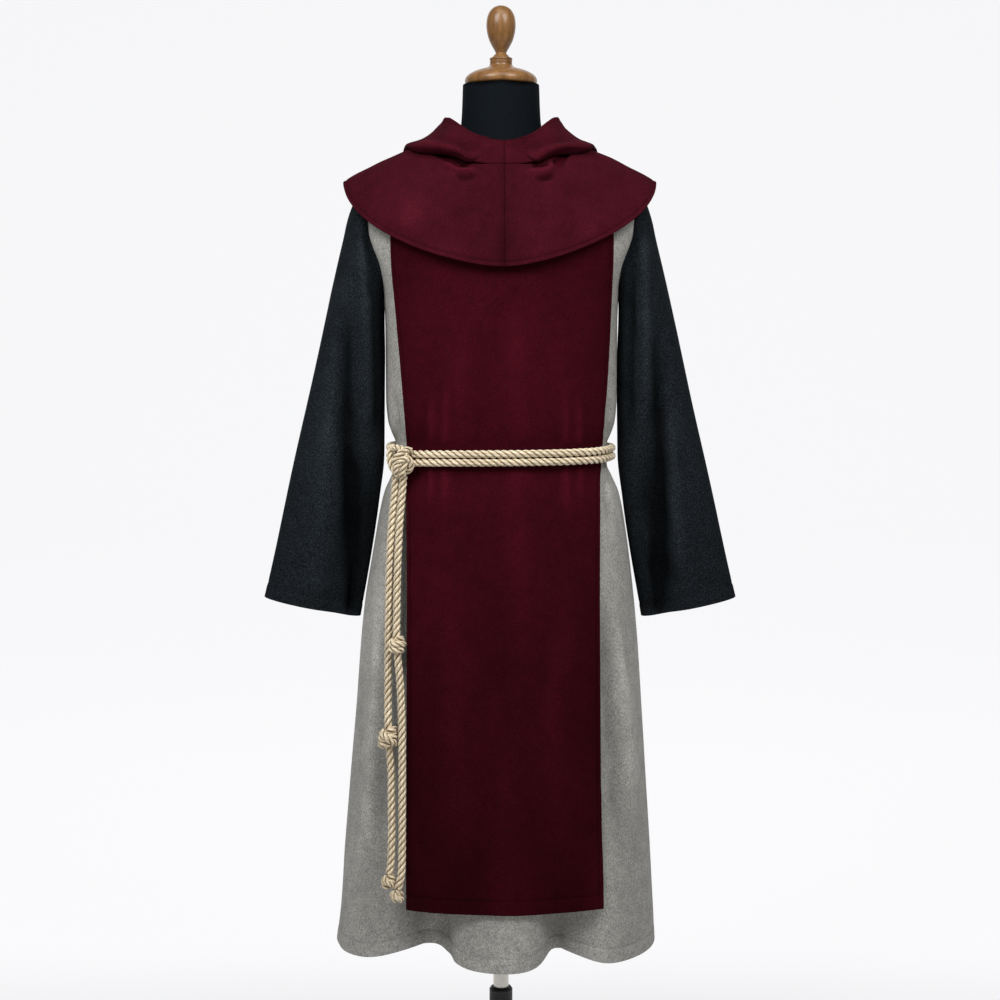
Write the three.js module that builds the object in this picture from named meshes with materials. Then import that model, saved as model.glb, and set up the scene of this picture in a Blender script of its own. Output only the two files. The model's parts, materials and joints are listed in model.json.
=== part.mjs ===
// A monk's habit on a limbless dress form.
// Millimetres, +Z up, the front of the garment faces -Y, the origin is under the stand at the floor.
// Each cloth piece is a wall over a surface that is worked out from the tables below.
import * as THREE from "three";

// ---------------------------------------------------------------- driving dimensions
const CLOTH = 2.0;             // thickness of the wool
const SEAM = 0.36;             // clear gap between two sewn pieces
const FRONT_OFFSET = 5;        // the centre front seam of cape and hood sits this far to +X

const ROPE = 12.4;             // diameter of the rope belt
const ROPE_SIDES = 8;
const ROPE_PITCH_Z = 12.9;     // the two turns of the belt lie this far apart, centre to centre
const BELT_STEPS = 38;
const KNOT_RIDGE = 0.1;        // height of a knot's ridges, as a share of its radius
const KNOT_END = 0.09;         // how flat a knot's ends are
const KNOT_ROWS = 7;
const KNOT_AROUND = 12;

const WAIST = 537;             // station of the belt
const ARMHOLE_TOP = 150;       // station of the shoulder tip, down from the neckline
const ARMHOLE_BOTTOM = 285;    // station of the underarm
const ARMHOLE_CUT = 22;        // degrees that the armhole is cut into the front and the back
const SCAPULAR_TOP = 12;       // stations of the scapular's neckline and hem
const SCAPULAR_HEM = 1230;
const TUNIC_HEM = 1320;

const NECK_TOP_Z = 1662;
const TORSO_BOTTOM_Z = 853;
const CAP_RADIUS = 57;
const CAP_HEIGHT = 33;
const RING_RADIUS = 17;
const RING_HEIGHT = 11;
const EGG_RADIUS = 22.6;
const EGG_HEIGHT = 79;
const WOOD_GAP = 0.3;

const POLE_RADIUS = 12.5;
const POLE_BOTTOM_Z = 150;
const TUBE_RADIUS = 16;
const TUBE_BORE = 13.3;
const TUBE_TOP_Z = 196;
const COLLAR_RADIUS = 18.8;
const COLLAR_BOTTOM_Z = 168;
const COLLAR_TOP_Z = 212;
const BASE_RADIUS = 185;
const BASE_HEIGHT = 16;

// ---------------------------------------------------------------- tables
// Rings round the body, outside face of the tunic. station: distance down from the neckline.
// side, front and back are heights of the ring at its side, centre front and centre back.
const TUNIC = [
  { station: 0, halfWidth: 84, shift: 0, front: 84, back: 80, sideZ: 1566, frontZ: 1515, backZ: 1562, square: 2.1 },
  { station: 50, halfWidth: 130, shift: 0, front: 99, back: 95, sideZ: 1545, frontZ: 1488, backZ: 1535, square: 2.15 },
  { station: 100, halfWidth: 175, shift: 0, front: 111, back: 106, sideZ: 1524, frontZ: 1456, backZ: 1500, square: 2.25 },
  { station: 150, halfWidth: 215, shift: 0, front: 120, back: 113, sideZ: 1503, frontZ: 1425, backZ: 1462, square: 2.35 },
  { station: 200, halfWidth: 219, shift: 0, front: 127, back: 118, sideZ: 1440, frontZ: 1392, backZ: 1415, square: 2.4 },
  { station: 250, halfWidth: 197, shift: 0, front: 131, back: 120, sideZ: 1375, frontZ: 1352, backZ: 1362, square: 2.4 },
  { station: 285, halfWidth: 186, shift: 0, front: 132, back: 120, sideZ: 1338, frontZ: 1328, backZ: 1333, square: 2.4 },
  { station: 345, halfWidth: 183.5, shift: 0, front: 132, back: 118, sideZ: 1275, frontZ: 1275, backZ: 1275, square: 2.4 },
  { station: 450, halfWidth: 183, shift: 0, front: 127, back: 112, sideZ: 1170, frontZ: 1170, backZ: 1170, square: 2.45 },
  { station: 503, halfWidth: 184, shift: 0, front: 124, back: 109, sideZ: 1117, frontZ: 1117, backZ: 1117, square: 2.5 },
  { station: 520, halfWidth: 168, shift: 0, front: 116.5, back: 102.5, sideZ: 1100, frontZ: 1100, backZ: 1100, square: 2.5 },
  { station: 554, halfWidth: 168, shift: 0, front: 116.5, back: 102.5, sideZ: 1066, frontZ: 1066, backZ: 1066, square: 2.5 },
  { station: 574, halfWidth: 186, shift: 0, front: 125, back: 113, sideZ: 1046, frontZ: 1046, backZ: 1046, square: 2.4 },
  { station: 660, halfWidth: 199, shift: 0, front: 136, back: 126, sideZ: 960, frontZ: 960, backZ: 960, square: 2.3 },
  { station: 775, halfWidth: 215, shift: -2, front: 149, back: 141, sideZ: 847, frontZ: 847, backZ: 847, square: 2.25 },
  { station: 940, halfWidth: 229, shift: -3, front: 167, back: 159, sideZ: 684, frontZ: 684, backZ: 684, square: 2.2 },
  { station: 1100, halfWidth: 241.5, shift: -5, front: 183, back: 174, sideZ: 520, frontZ: 520, backZ: 520, square: 2.2 },
  { station: 1265, halfWidth: 252, shift: -6, front: 199, back: 188, sideZ: 355, frontZ: 355, backZ: 355, square: 2.2 },
  { station: 1320, halfWidth: 257, shift: -8, front: 205, back: 193, sideZ: 300, frontZ: 300, backZ: 300, square: 2.2 },
];

// Folds of the skirt: troughs that open towards the hem. angle is from the centre front,
// positive to +X; lift is how much the hem rises in the trough.
const SKIRT_FOLDS = [
  { angle: -29, spread: 15, depth: 66, lift: 26, start: 700 },
  { angle: 25, spread: 10.5, depth: 56, lift: 21, start: 760 },
  { angle: -112, spread: 10, depth: 34, lift: 12, start: 860 },
  { angle: 110, spread: 9, depth: 26, lift: 8, start: 900 },
  { angle: 140, spread: 12, depth: 52, lift: 20, start: 720 },
  { angle: 171, spread: 11, depth: 46, lift: 16, start: 780 },
  { angle: -152, spread: 13, depth: 58, lift: 22, start: 700 },
];

// The scapular's edges, measured from the centre line, and the gap between it and the tunic.
// right is the +X side of the front.
const SCAPULAR = [
  { station: 0, left: 156, right: 156, gap: 6.6 },
  { station: 110, left: 158, right: 158, gap: 6.6 },
  { station: 150, left: 162, right: 163, gap: 3 },
  { station: 200, left: 168, right: 170.5, gap: 2 },
  { station: 345, left: 158, right: 167, gap: 1.4 },
  { station: 500, left: 146, right: 157, gap: 1.6 },
  { station: WAIST, left: 144, right: 154, gap: 1.5 },
  { station: 600, left: 144, right: 151, gap: 3.4 },
  { station: 775, left: 144, right: 151.5, gap: 1.5 },
  { station: 1230, left: 144.5, right: 153.5, gap: 2 },
];

// The cape, from the neck seam (0) to its hem (1). Its last row carries on below the hem and is
// only what the hood hangs over.
const CAPE = [
  { station: 0, halfWidth: 88, shift: 0, front: 92, back: 86, sideZ: 1582, frontZ: 1532, backZ: 1585, square: 2.1 },
  { station: 0.33, halfWidth: 141, shift: -1, front: 116.5, back: 117, sideZ: 1561.5, frontZ: 1484, backZ: 1530, square: 2.2 },
  { station: 0.67, halfWidth: 197, shift: -2, front: 136.5, back: 138, sideZ: 1537, frontZ: 1432, backZ: 1466, square: 2.3 },
  { station: 1, halfWidth: 246, shift: -2, front: 150, back: 153, sideZ: 1510, frontZ: 1373, backZ: 1395, square: 2.35 },
  { station: 1.5, halfWidth: 280, shift: -2, front: 160, back: 160, sideZ: 1470, frontZ: 1290, backZ: 1292, square: 2.4 },
];

// The hood, turned back. angle: from the centre front. turn: cape station where the cloth turns
// back on itself. bag: the space between the two layers there. edgeX, edgeY, edgeZ: mouth edge.
// fold: 0 where the hood is a plain band, 1 where it is folded over.
const HOOD = [
  { angle: 0, fold: 0, turn: 0.08, bag: 8, bulge: 0, edgeX: 0, edgeY: -76, edgeZ: 1569 },
  { angle: 22, fold: 0.06, turn: 0.1, bag: 8, bulge: 0, edgeX: 30, edgeY: -71, edgeZ: 1575 },
  { angle: 42, fold: 0.55, turn: 0.18, bag: 8, bulge: 0, edgeX: 54, edgeY: -56, edgeZ: 1587 },
  { angle: 62, fold: 0.96, turn: 0.3, bag: 8, bulge: -2, edgeX: 71, edgeY: -32, edgeZ: 1602 },
  { angle: 90, fold: 1, turn: 0.42, bag: 7, bulge: -4, edgeX: 82, edgeY: 4, edgeZ: 1610 },
  { angle: 115, fold: 1, turn: 0.56, bag: 12, bulge: 0, edgeX: 85, edgeY: 42, edgeZ: 1606 },
  { angle: 140, fold: 1, turn: 0.92, bag: 24, bulge: 12, edgeX: 70, edgeY: 82, edgeZ: 1600 },
  { angle: 162, fold: 1, turn: 1.22, bag: 30, bulge: 18, edgeX: 36, edgeY: 106, edgeZ: 1596 },
  { angle: 180, fold: 1, turn: 1.36, bag: 32, bulge: 20, edgeX: 0, edgeY: 113, edgeZ: 1594 },
];

// The +X sleeve, from the armhole (0) to the cuff (1), by its outer and inner edge.
const SLEEVE = [
  { station: 0, outerX: 215, outerZ: 1503, innerX: 187, innerZ: 1337, halfDepth: 52 },
  { station: 0.04, outerX: 228, outerZ: 1492, innerX: 187.5, innerZ: 1318, halfDepth: 60 },
  { station: 0.09, outerX: 238, outerZ: 1466, innerX: 187.5, innerZ: 1296, halfDepth: 66 },
  { station: 0.15, outerX: 247, outerZ: 1425, innerX: 187, innerZ: 1265, halfDepth: 69 },
  { station: 0.23, outerX: 259, outerZ: 1375, innerX: 187, innerZ: 1228, halfDepth: 69 },
  { station: 0.35, outerX: 276.5, outerZ: 1298, innerX: 187, innerZ: 1170, halfDepth: 65 },
  { station: 0.52, outerX: 303.5, outerZ: 1180, innerX: 188.5, innerZ: 1085, halfDepth: 58 },
  { station: 0.69, outerX: 331.5, outerZ: 1058, innerX: 195, innerZ: 1008, halfDepth: 51 },
  { station: 0.85, outerX: 357.5, outerZ: 945, innerX: 211, innerZ: 905, halfDepth: 45 },
  { station: 1, outerX: 378.5, outerZ: 853, innerX: 225.5, innerZ: 822, halfDepth: 40 },
];

// Folds of the sleeve: turn is the angle round the arm, 90 at the front, 270 at the back.
const SLEEVE_FOLDS = [
  { turn: 118, spread: 17, depth: 11, start: 0.5, end: 1.2 },
  { turn: 62, spread: 15, depth: 6, start: 0.1, end: 0.7 },
  { turn: 246, spread: 17, depth: 10, start: 0.45, end: 1.2 },
  { turn: 300, spread: 14, depth: 6, start: 0.15, end: 0.7 },
];

// The dress form inside: its rings lie inside the tunic's.
const TORSO = [
  { station: 0, halfWidth: 150, shift: 0, front: 96, back: 100, sideZ: 853, frontZ: 853, backZ: 853, square: 2.2 },
  { station: 12, halfWidth: 164, shift: 0, front: 108, back: 112, sideZ: 862, frontZ: 862, backZ: 862, square: 2.2 },
  { station: 70, halfWidth: 170, shift: 0, front: 112, back: 114, sideZ: 920, frontZ: 920, backZ: 920, square: 2.2 },
  { station: 150, halfWidth: 164, shift: 0, front: 108, back: 104, sideZ: 1000, frontZ: 1000, backZ: 1000, square: 2.25 },
  { station: 233, halfWidth: 152, shift: 0, front: 104, back: 92, sideZ: 1083, frontZ: 1083, backZ: 1083, square: 2.3 },
  { station: 320, halfWidth: 160, shift: 0, front: 112, back: 98, sideZ: 1170, frontZ: 1170, backZ: 1170, square: 2.35 },
  { station: 425, halfWidth: 170, shift: 0, front: 120, back: 106, sideZ: 1275, frontZ: 1275, backZ: 1275, square: 2.35 },
  { station: 500, halfWidth: 176, shift: 0, front: 121, back: 108, sideZ: 1340, frontZ: 1340, backZ: 1340, square: 2.35 },
  { station: 560, halfWidth: 190, shift: 0, front: 113, back: 104, sideZ: 1412, frontZ: 1384, backZ: 1398, square: 2.3 },
  { station: 600, halfWidth: 199, shift: 0, front: 106, back: 98, sideZ: 1470, frontZ: 1425, backZ: 1445, square: 2.3 },
  { station: 620, halfWidth: 186, shift: 0, front: 99, back: 93, sideZ: 1499, frontZ: 1452, backZ: 1473, square: 2.25 },
  { station: 650, halfWidth: 140, shift: 0, front: 86, back: 84, sideZ: 1526, frontZ: 1486, backZ: 1508, square: 2.15 },
  { station: 680, halfWidth: 96, shift: 0, front: 74, back: 72, sideZ: 1549, frontZ: 1516, backZ: 1540, square: 2.05 },
  { station: 705, halfWidth: 72, shift: 0, front: 66, back: 65, sideZ: 1574, frontZ: 1550, backZ: 1570, square: 2 },
  { station: 735, halfWidth: 62.5, shift: 0, front: 61, back: 61, sideZ: 1606, frontZ: 1590, backZ: 1606, square: 2 },
  { station: 790, halfWidth: 60, shift: 0, front: 59, back: 59, sideZ: 1662, frontZ: 1662, backZ: 1662, square: 2 },
];

// Where each ring of a wall lies: close together at the armhole, the waist and the hem.
const YOKE_ROWS = [0, 30, 60, 90, 120];
const SKIRT_ROWS = [350, 430, WAIST - 34, WAIST - 17, WAIST + 17, WAIST + 37, 670, 790, 920, 1040, 1140, SCAPULAR_HEM, TUNIC_HEM];
const ARMHOLE_STEPS = 8;       // rows from the shoulder tip to the underarm, and half the sleeve's columns
const TUNIC_COLUMNS = 24;
const SCAPULAR_COLUMNS = 12;
const CAPE_ROWS = 6;
const HALF_COLUMNS = 18;        // of each half of the cape and of the hood
const TORSO_AROUND = 26;

const LOOK = {
  tunic: { color: 0x8f8e89, roughness: 0.95, metalness: 0 },
  sleeve: { color: 0x1b2024, roughness: 0.95, metalness: 0 },
  scapular: { color: 0x3c0e19, roughness: 0.93, metalness: 0 },
  cape: { color: 0x4d131f, roughness: 0.93, metalness: 0 },
  rope: { color: 0xcdb68c, roughness: 0.85, metalness: 0 },
  jersey: { color: 0x101416, roughness: 0.9, metalness: 0 },
  wood: { color: 0x8f5a2e, roughness: 0.35, metalness: 0 },
  steel: { color: 0xa5a29a, roughness: 0.35, metalness: 1 },
  black: { color: 0x15161a, roughness: 0.5, metalness: 0 },
};

const habit = new THREE.Group();

// ---------------------------------------------------------------- small helpers
const radians = (degrees) => THREE.MathUtils.degToRad(degrees);
const blend = (from, to, share) => from + (to - from) * share;
const signedPower = (value, power) => Math.sign(value) * Math.abs(value) ** power;
const smooth = (from, to, value) => THREE.MathUtils.smoothstep(value, from, to);

const wrapped = (angle) => ((((angle + 180) % 360) + 360) % 360) - 180;

// Reads a column of a table at any place between its rows, smoothly and without overshoot.
function read(table, key, place, column) {
  const last = table.length - 1;
  let row = 0;
  while (row < last - 1 && place > table[row + 1][key]) row += 1;
  const rise = (i) => (table[i + 1][column] - table[i][column]) / (table[i + 1][key] - table[i][key]);
  const slope = (i) => {
    if (i === 0) return rise(0);
    if (i === last) return rise(last - 1);
    const before = rise(i - 1);
    const after = rise(i);
    return before * after <= 0 ? 0 : (2 * before * after) / (before + after);
  };
  const span = table[row + 1][key] - table[row][key];
  const t = (place - table[row][key]) / span;
  const bend = t * t * (3 - 2 * t);
  const leave = t * (1 - t) * (1 - t) * span * slope(row);
  const arrive = t * t * (t - 1) * span * slope(row + 1);
  return blend(table[row][column], table[row + 1][column], bend) + leave + arrive;
}

// How far a ring has dropped from its side height to its centre height: 0 at the side, 1 at the
// centre front or back. soft rounds the crest over the shoulder.
function crestFall(angle, power, soft) {
  const toSide = Math.abs(Math.abs(wrapped(angle)) - 90) / 90;
  const rounded = (away) => 1 - (1 - (Math.hypot(away, soft) - soft)) ** power;
  return rounded(toSide) / rounded(1);
}

// A point on a ring; angle in degrees from the centre front, positive to +X.
function ringPoint(table, station, angle, power, soft) {
  const at = (column) => read(table, "station", station, column);
  const ahead = Math.abs(wrapped(angle)) < 90;
  const exponent = 2 / at("square");
  const cosine = Math.abs(Math.cos(radians(angle))) ** exponent;
  const drop = (ahead ? at("frontZ") : at("backZ")) - at("sideZ");
  return new THREE.Vector3(
    at("shift") + at("halfWidth") * signedPower(Math.sin(radians(angle)), exponent),
    ahead ? -at("front") * cosine : at("back") * cosine,
    at("sideZ") + drop * crestFall(angle, power, soft),
  );
}

// The outward direction of a surface at a place, from its neighbours.
function outwardAt(surface, across, down, size) {
  const left = surface(across - size.across, down);
  const right = surface(across + size.across, down);
  const above = surface(across, down - size.down);
  const below = surface(across, down + size.down);
  return right.sub(left).cross(below.sub(above)).normalize().negate();
}

function add(name, geometry, look) {
  const mesh = new THREE.Mesh(geometry, new THREE.MeshStandardMaterial(look));
  mesh.name = name;
  habit.add(mesh);
  return mesh;
}

function solid(points, faces) {
  let volume = 0;
  for (const [a, b, c] of faces) volume += points[a].dot(points[b].clone().cross(points[c]));
  const outwards = volume > 0 ? faces : faces.map(([a, b, c]) => [a, c, b]);
  const geometry = new THREE.BufferGeometry();
  geometry.setAttribute("position", new THREE.Float32BufferAttribute(points.flatMap((p) => p.toArray()), 3));
  geometry.setIndex(outwards.flat());
  geometry.computeVertexNormals();
  return geometry;
}

// The faces of a grid of points, rows x columns, that start at a given point number.
function gridFaces(rows, columns, first, closed) {
  const faces = [];
  for (let row = 0; row < rows - 1; row += 1) {
    for (let column = 0; column < (closed ? columns : columns - 1); column += 1) {
      const next = (column + 1) % columns;
      const a = first + row * columns + column;
      const b = first + row * columns + next;
      faces.push([a, b, b + columns], [a, b + columns, a + columns]);
    }
  }
  return faces;
}

// A cloth wall: outer face, inner face and the rims between them. surface gives the outer face
// for a row place and a column place; closed wraps the columns round; finish moves each point.
function wall(surface, rowPlaces, columnPlaces, { closed = false, finish = (point) => point } = {}) {
  const rows = rowPlaces.length;
  const columns = columnPlaces.length;
  const grid = rowPlaces.map((row) => columnPlaces.map((column) => surface(column, row)));
  const outer = [];
  const inner = [];
  for (let row = 0; row < rows; row += 1) {
    for (let column = 0; column < columns; column += 1) {
      const before = closed ? (column + columns - 1) % columns : Math.max(column - 1, 0);
      const after = closed ? (column + 1) % columns : Math.min(column + 1, columns - 1);
      const across = grid[row][after].clone().sub(grid[row][before]);
      const above = grid[Math.max(row - 1, 0)][column];
      const down = grid[Math.min(row + 1, rows - 1)][column].clone().sub(above);
      const inwards = across.cross(down).normalize();
      outer.push(finish(grid[row][column].clone()));
      inner.push(finish(grid[row][column].clone().addScaledVector(inwards, CLOTH)));
    }
  }
  const count = rows * columns;
  const faces = gridFaces(rows, columns, 0, closed);
  for (const [a, b, c] of gridFaces(rows, columns, count, closed)) faces.push([a, c, b]);
  const rim = (a, b) => faces.push([b, a, a + count], [b, a + count, b + count]);
  for (let column = 0; column < (closed ? columns : columns - 1); column += 1) {
    const next = (column + 1) % columns;
    rim(column, next);
    rim((rows - 1) * columns + next, (rows - 1) * columns + column);
  }
  if (!closed) {
    for (let row = 0; row < rows - 1; row += 1) {
      rim((row + 1) * columns, row * columns);
      rim(row * columns + columns - 1, (row + 1) * columns + columns - 1);
    }
  }
  return solid(outer.concat(inner), faces);
}

// A filled body through closed rings, with flat ends.
function filledBody(surface, rowPlaces, columns) {
  const turns = places(columns + 1).slice(0, -1);
  const points = rowPlaces.flatMap((row) => turns.map((turn) => surface(turn, row)));
  const faces = gridFaces(rowPlaces.length, columns, 0, true);
  for (const [row, flip] of [[0, true], [rowPlaces.length - 1, false]]) {
    const ring = points.slice(row * columns, (row + 1) * columns);
    const centre = ring.reduce((sum, p) => sum.add(p), new THREE.Vector3()).divideScalar(columns);
    const hub = points.push(centre) - 1;
    for (let column = 0; column < columns; column += 1) {
      const a = row * columns + column;
      const b = row * columns + ((column + 1) % columns);
      faces.push(flip ? [hub, b, a] : [hub, a, b]);
    }
  }
  return solid(points, faces);
}

// count places spread evenly from one value to another.
function places(count, from = 0, to = 1) {
  return Array.from({ length: count }, (_, i) => blend(from, to, i / (count - 1)));
}

const keepAhead = (point) => point.setY(Math.min(point.y, -SEAM / 2));
const keepBehind = (point) => point.setY(Math.max(point.y, SEAM / 2));

// ---------------------------------------------------------------- tunic
const TUNIC_CREST = { power: 1.5, soft: 0.2 };

// The tunic's outer face with no folds; lifted moves it outwards along itself.
function bodyPoint(station, angle, lifted = 0) {
  const surface = (a, s) => ringPoint(TUNIC, s, a, TUNIC_CREST.power, TUNIC_CREST.soft);
  const point = surface(angle, station);
  if (lifted === 0) return point;
  return point.addScaledVector(outwardAt(surface, angle, station, { across: 0.5, down: 2 }), lifted);
}

function skirtPoint(station, angle) {
  const point = bodyPoint(station, angle);
  for (const fold of SKIRT_FOLDS) {
    const away = wrapped(angle - fold.angle) / fold.spread;
    const bell = Math.exp(-away * away);
    const open = smooth(fold.start, TUNIC_HEM + 120, station);
    const radius = Math.hypot(point.x, point.y);
    const keep = 1 - (fold.depth * bell * open) / radius;
    point.x *= keep;
    point.y *= keep;
    point.z += fold.lift * bell * smooth(TUNIC_HEM - 420, TUNIC_HEM, station);
  }
  return point;
}

// The angle at which the front or back panel ends: 90 at the seams, less at the armhole.
function armholeAngle(station) {
  const middle = (ARMHOLE_TOP + ARMHOLE_BOTTOM) / 2;
  const away = (station - middle) / ((ARMHOLE_BOTTOM - ARMHOLE_TOP) / 2);
  return 90 - ARMHOLE_CUT * Math.sqrt(Math.max(1 - away * away, 0));
}

// The station of the armhole's edge at a turn round the arm, 0 at the shoulder tip.
function armholeStation(turn) {
  return blend(ARMHOLE_TOP, ARMHOLE_BOTTOM, (1 - Math.cos(radians(turn))) / 2);
}

const armholeRows = places(ARMHOLE_STEPS + 1, 0, 180).map(armholeStation);
const tunicRows = [...YOKE_ROWS, ...armholeRows, ...SKIRT_ROWS];
const tunicSides = places(TUNIC_COLUMNS + 1, -1, 1);
add("tunic_front", wall((side, station) => skirtPoint(station, side * armholeAngle(station)),
  tunicRows, tunicSides, { finish: keepAhead }), LOOK.tunic);
add("tunic_back", wall((side, station) => skirtPoint(station, 180 + side * armholeAngle(station)),
  tunicRows, tunicSides, { finish: keepBehind }), LOOK.tunic);

// ---------------------------------------------------------------- sleeves
// turn: 0 along the outer edge, 90 at the front, 180 at the inner edge, 270 at the back.
function sleevePoint(turn, station, widen) {
  const at = (column) => read(SLEEVE, "station", station, column);
  const cosine = Math.cos(radians(turn));
  const sine = Math.sin(radians(turn));
  const outerX = at("outerX") + widen;
  const middle = { x: (outerX + at("innerX")) / 2, z: (at("outerZ") + at("innerZ")) / 2 };
  let inset = 0;
  for (const fold of SLEEVE_FOLDS) {
    const away = (turn - fold.turn) / fold.spread;
    const along = Math.max((station - fold.start) / (fold.end - fold.start), 0);
    inset += fold.depth * Math.exp(-away * away) * Math.sin(Math.PI * Math.min(along, 1));
  }
  const depth = at("halfDepth") - inset;
  const ring = new THREE.Vector3(
    middle.x + (outerX - middle.x) * cosine,
    -depth * signedPower(sine, 0.94),
    middle.z + (at("outerZ") - middle.z) * cosine,
  );
  const armhole = bodyPoint(armholeStation(turn), 90 - ARMHOLE_CUT * sine);
  armhole.x += SEAM;
  armhole.z -= SEAM;
  return armhole.lerp(ring, smooth(0, 0.13, station));
}

const SLEEVE_ROWS = [0, 0.02, 0.05, 0.09, 0.15, 0.23, 0.35, 0.47, 0.6, 0.73, 0.87, 1];
const sleeveTurns = places(2 * ARMHOLE_STEPS + 1, 360, 0).slice(0, -1);
// widen: how much further out each sleeve hangs than the table says.
for (const { name, side, widen } of [
  { name: "sleeve_right", side: 1, widen: -2 },
  { name: "sleeve_left", side: -1, widen: 1 },
]) {
  const surface = (turn, station) => sleevePoint(turn, station, widen);
  const geometry = wall(surface, SLEEVE_ROWS, sleeveTurns, { closed: true });
  add(name, geometry, LOOK.sleeve).scale.x = side;
}

// ---------------------------------------------------------------- scapular
// The angle at which a ring of the body is as wide as the scapular's edge.
function scapularAngle(station, edge) {
  const shift = read(TUNIC, "station", station, "shift") * (edge === "left" ? 1 : -1);
  const width = read(SCAPULAR, "station", station, edge) + shift;
  const share = Math.min(width / read(TUNIC, "station", station, "halfWidth"), 1);
  const exponent = read(TUNIC, "station", station, "square") / 2;
  return THREE.MathUtils.radToDeg(Math.asin(share ** exponent));
}

// middle: the angle of the panel's centre line; edges: its names for the lower and higher angle.
function scapularSurface(middle, edges) {
  return (side, station) => {
    const angle = middle + side * scapularAngle(station, side < 0 ? edges[0] : edges[1]);
    return bodyPoint(station, angle, read(SCAPULAR, "station", station, "gap") + CLOTH);
  };
}

const scapularRows = [SCAPULAR_TOP, ...tunicRows.slice(1, -1)];
const EDGE_GATHER = 0.12;        // brings the scapular's columns closer together at its edges
const scapularSides = places(SCAPULAR_COLUMNS + 1, -1, 1)
  .map((side) => side + EDGE_GATHER * Math.sin(Math.PI * side));
const scapularFront = scapularSurface(0, ["left", "right"]);
const scapularBack = scapularSurface(180, ["right", "left"]);
add("scapular_front", wall(scapularFront, scapularRows, scapularSides, { finish: keepAhead }), LOOK.scapular);
add("scapular_back", wall(scapularBack, scapularRows, scapularSides, { finish: keepBehind }), LOOK.scapular);

// ---------------------------------------------------------------- cape
const CAPE_CREST = { power: 1.32, soft: 0.05 };

function capePoint(station, angle, lifted = 0) {
  const surface = (a, s) => ringPoint(CAPE, s, a, CAPE_CREST.power, CAPE_CREST.soft);
  const point = surface(angle, station);
  if (lifted === 0) return point;
  return point.addScaledVector(outwardAt(surface, angle, station, { across: 0.5, down: 0.01 }), lifted);
}

// Keeps a half of the cape or hood on its side, then moves the front centre seam to +X.
const FRONT_OFFSET_REACH = 80;
function keepHalf(side) {
  return (point) => {
    point.x = side * Math.max(side * point.x, SEAM / 2);
    const nearSeam = Math.exp(-((point.x / FRONT_OFFSET_REACH) ** 2));
    point.x += FRONT_OFFSET * nearSeam * smooth(-20, 90, -point.y);
    return point;
  };
}

// Each half: its name, its side and the angles where its columns start and end.
const HALVES = [
  { name: "right", side: 1, from: 0, to: 180 },
  { name: "left", side: -1, from: -180, to: 0 },
];
for (const { name, side, from, to } of HALVES) {
  const geometry = wall((angle, station) => capePoint(station, angle), places(CAPE_ROWS + 1),
    places(HALF_COLUMNS + 1, from, to), { finish: keepHalf(side) });
  add(`cape_${name}`, geometry, LOOK.cape);
}

// ---------------------------------------------------------------- hood
const HOOD_LAY = 4.5;            // clear gap between the hood's under layer and the cape
const UNDER_SHARES = [0.25, 0.5, 0.75, 1];
const RISE_SHARES = [0.33, 0.67];
const PLAIN_SHARES = [0, 0.14, 0.27, 0.4, 0.52, 0.62, 0.75, 0.88, 1];
const HOOD_SPANS = PLAIN_SHARES.length - 1;
const HOOD_PROFILE = [0, 1, 2, 3, 4, 4.5, 5, 6, 7, 8];

// The hood's profile at an angle: from the neck seam out over the cape, round the turn and back
// up to the mouth edge. Near the centre front the same points lie on one plain band.
function hoodCurve(angle) {
  const at = (column) => read(HOOD, "angle", Math.abs(angle), column);
  const seam = capePoint(0, angle).add(new THREE.Vector3(0, 0, SEAM));
  const edge = new THREE.Vector3(Math.sign(angle) * at("edgeX"), at("edgeY"), at("edgeZ"));
  const turn = at("turn");
  const under = (share) => capePoint(turn * share, angle, HOOD_LAY);
  const over = capePoint(turn, angle, HOOD_LAY + at("bag"));
  const outwards = new THREE.Vector3(over.x, over.y, 0).normalize().add(new THREE.Vector3(0, 0, 1));
  const swell = (share) => at("bulge") * Math.sin(Math.PI * share);
  const rise = (share) => over.clone().lerp(edge, share).addScaledVector(outwards, swell(share));
  const folded = [seam, ...UNDER_SHARES.map(under), over, ...RISE_SHARES.map(rise), edge];
  const points = folded.map((point, i) => seam.clone().lerp(edge, PLAIN_SHARES[i]).lerp(point, at("fold")));
  return new THREE.CatmullRomCurve3(points, false, "centripetal");
}

for (const { name, side, from, to } of HALVES) {
  const surface = (angle, place) => hoodCurve(angle).getPoint(place / HOOD_SPANS);
  const geometry = wall(surface, HOOD_PROFILE, places(HALF_COLUMNS + 1, to, from), { finish: keepHalf(side) });
  add(`hood_${name}`, geometry, LOOK.cape);
}

// ---------------------------------------------------------------- dress form
const TORSO_CREST = { power: 1.5, soft: 0.2 };
const torsoRows = TORSO.map((row) => row.station);
add("dress_form", filledBody(
  (turn, station) => ringPoint(TORSO, station, 360 * turn - 180, TORSO_CREST.power, TORSO_CREST.soft),
  torsoRows, TORSO_AROUND), LOOK.jersey);

// Turned pieces: profiles of radius and height, from the axis back to the axis.
function turned(name, profile, segments, look) {
  const points = profile.map(([radius, height]) => new THREE.Vector2(radius, height));
  const geometry = new THREE.LatheGeometry(points, segments);
  geometry.rotateX(Math.PI / 2);
  return add(name, geometry, look);
}

const capBottom = NECK_TOP_Z + WOOD_GAP;
const capTop = capBottom + CAP_HEIGHT;
const capArc = places(5, 10, 66).map((angle) => [
  CAP_RADIUS * Math.cos(radians(angle)) ** 0.72,
  capBottom + CAP_HEIGHT * Math.sin(radians(angle)) ** 0.8,
]);
turned("neck_cap", [
  [0, capBottom], [CAP_RADIUS - 2, capBottom], [CAP_RADIUS, capBottom + 3], ...capArc,
  [RING_RADIUS + 3, capTop], [0, capTop],
], 24, LOOK.wood);

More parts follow.
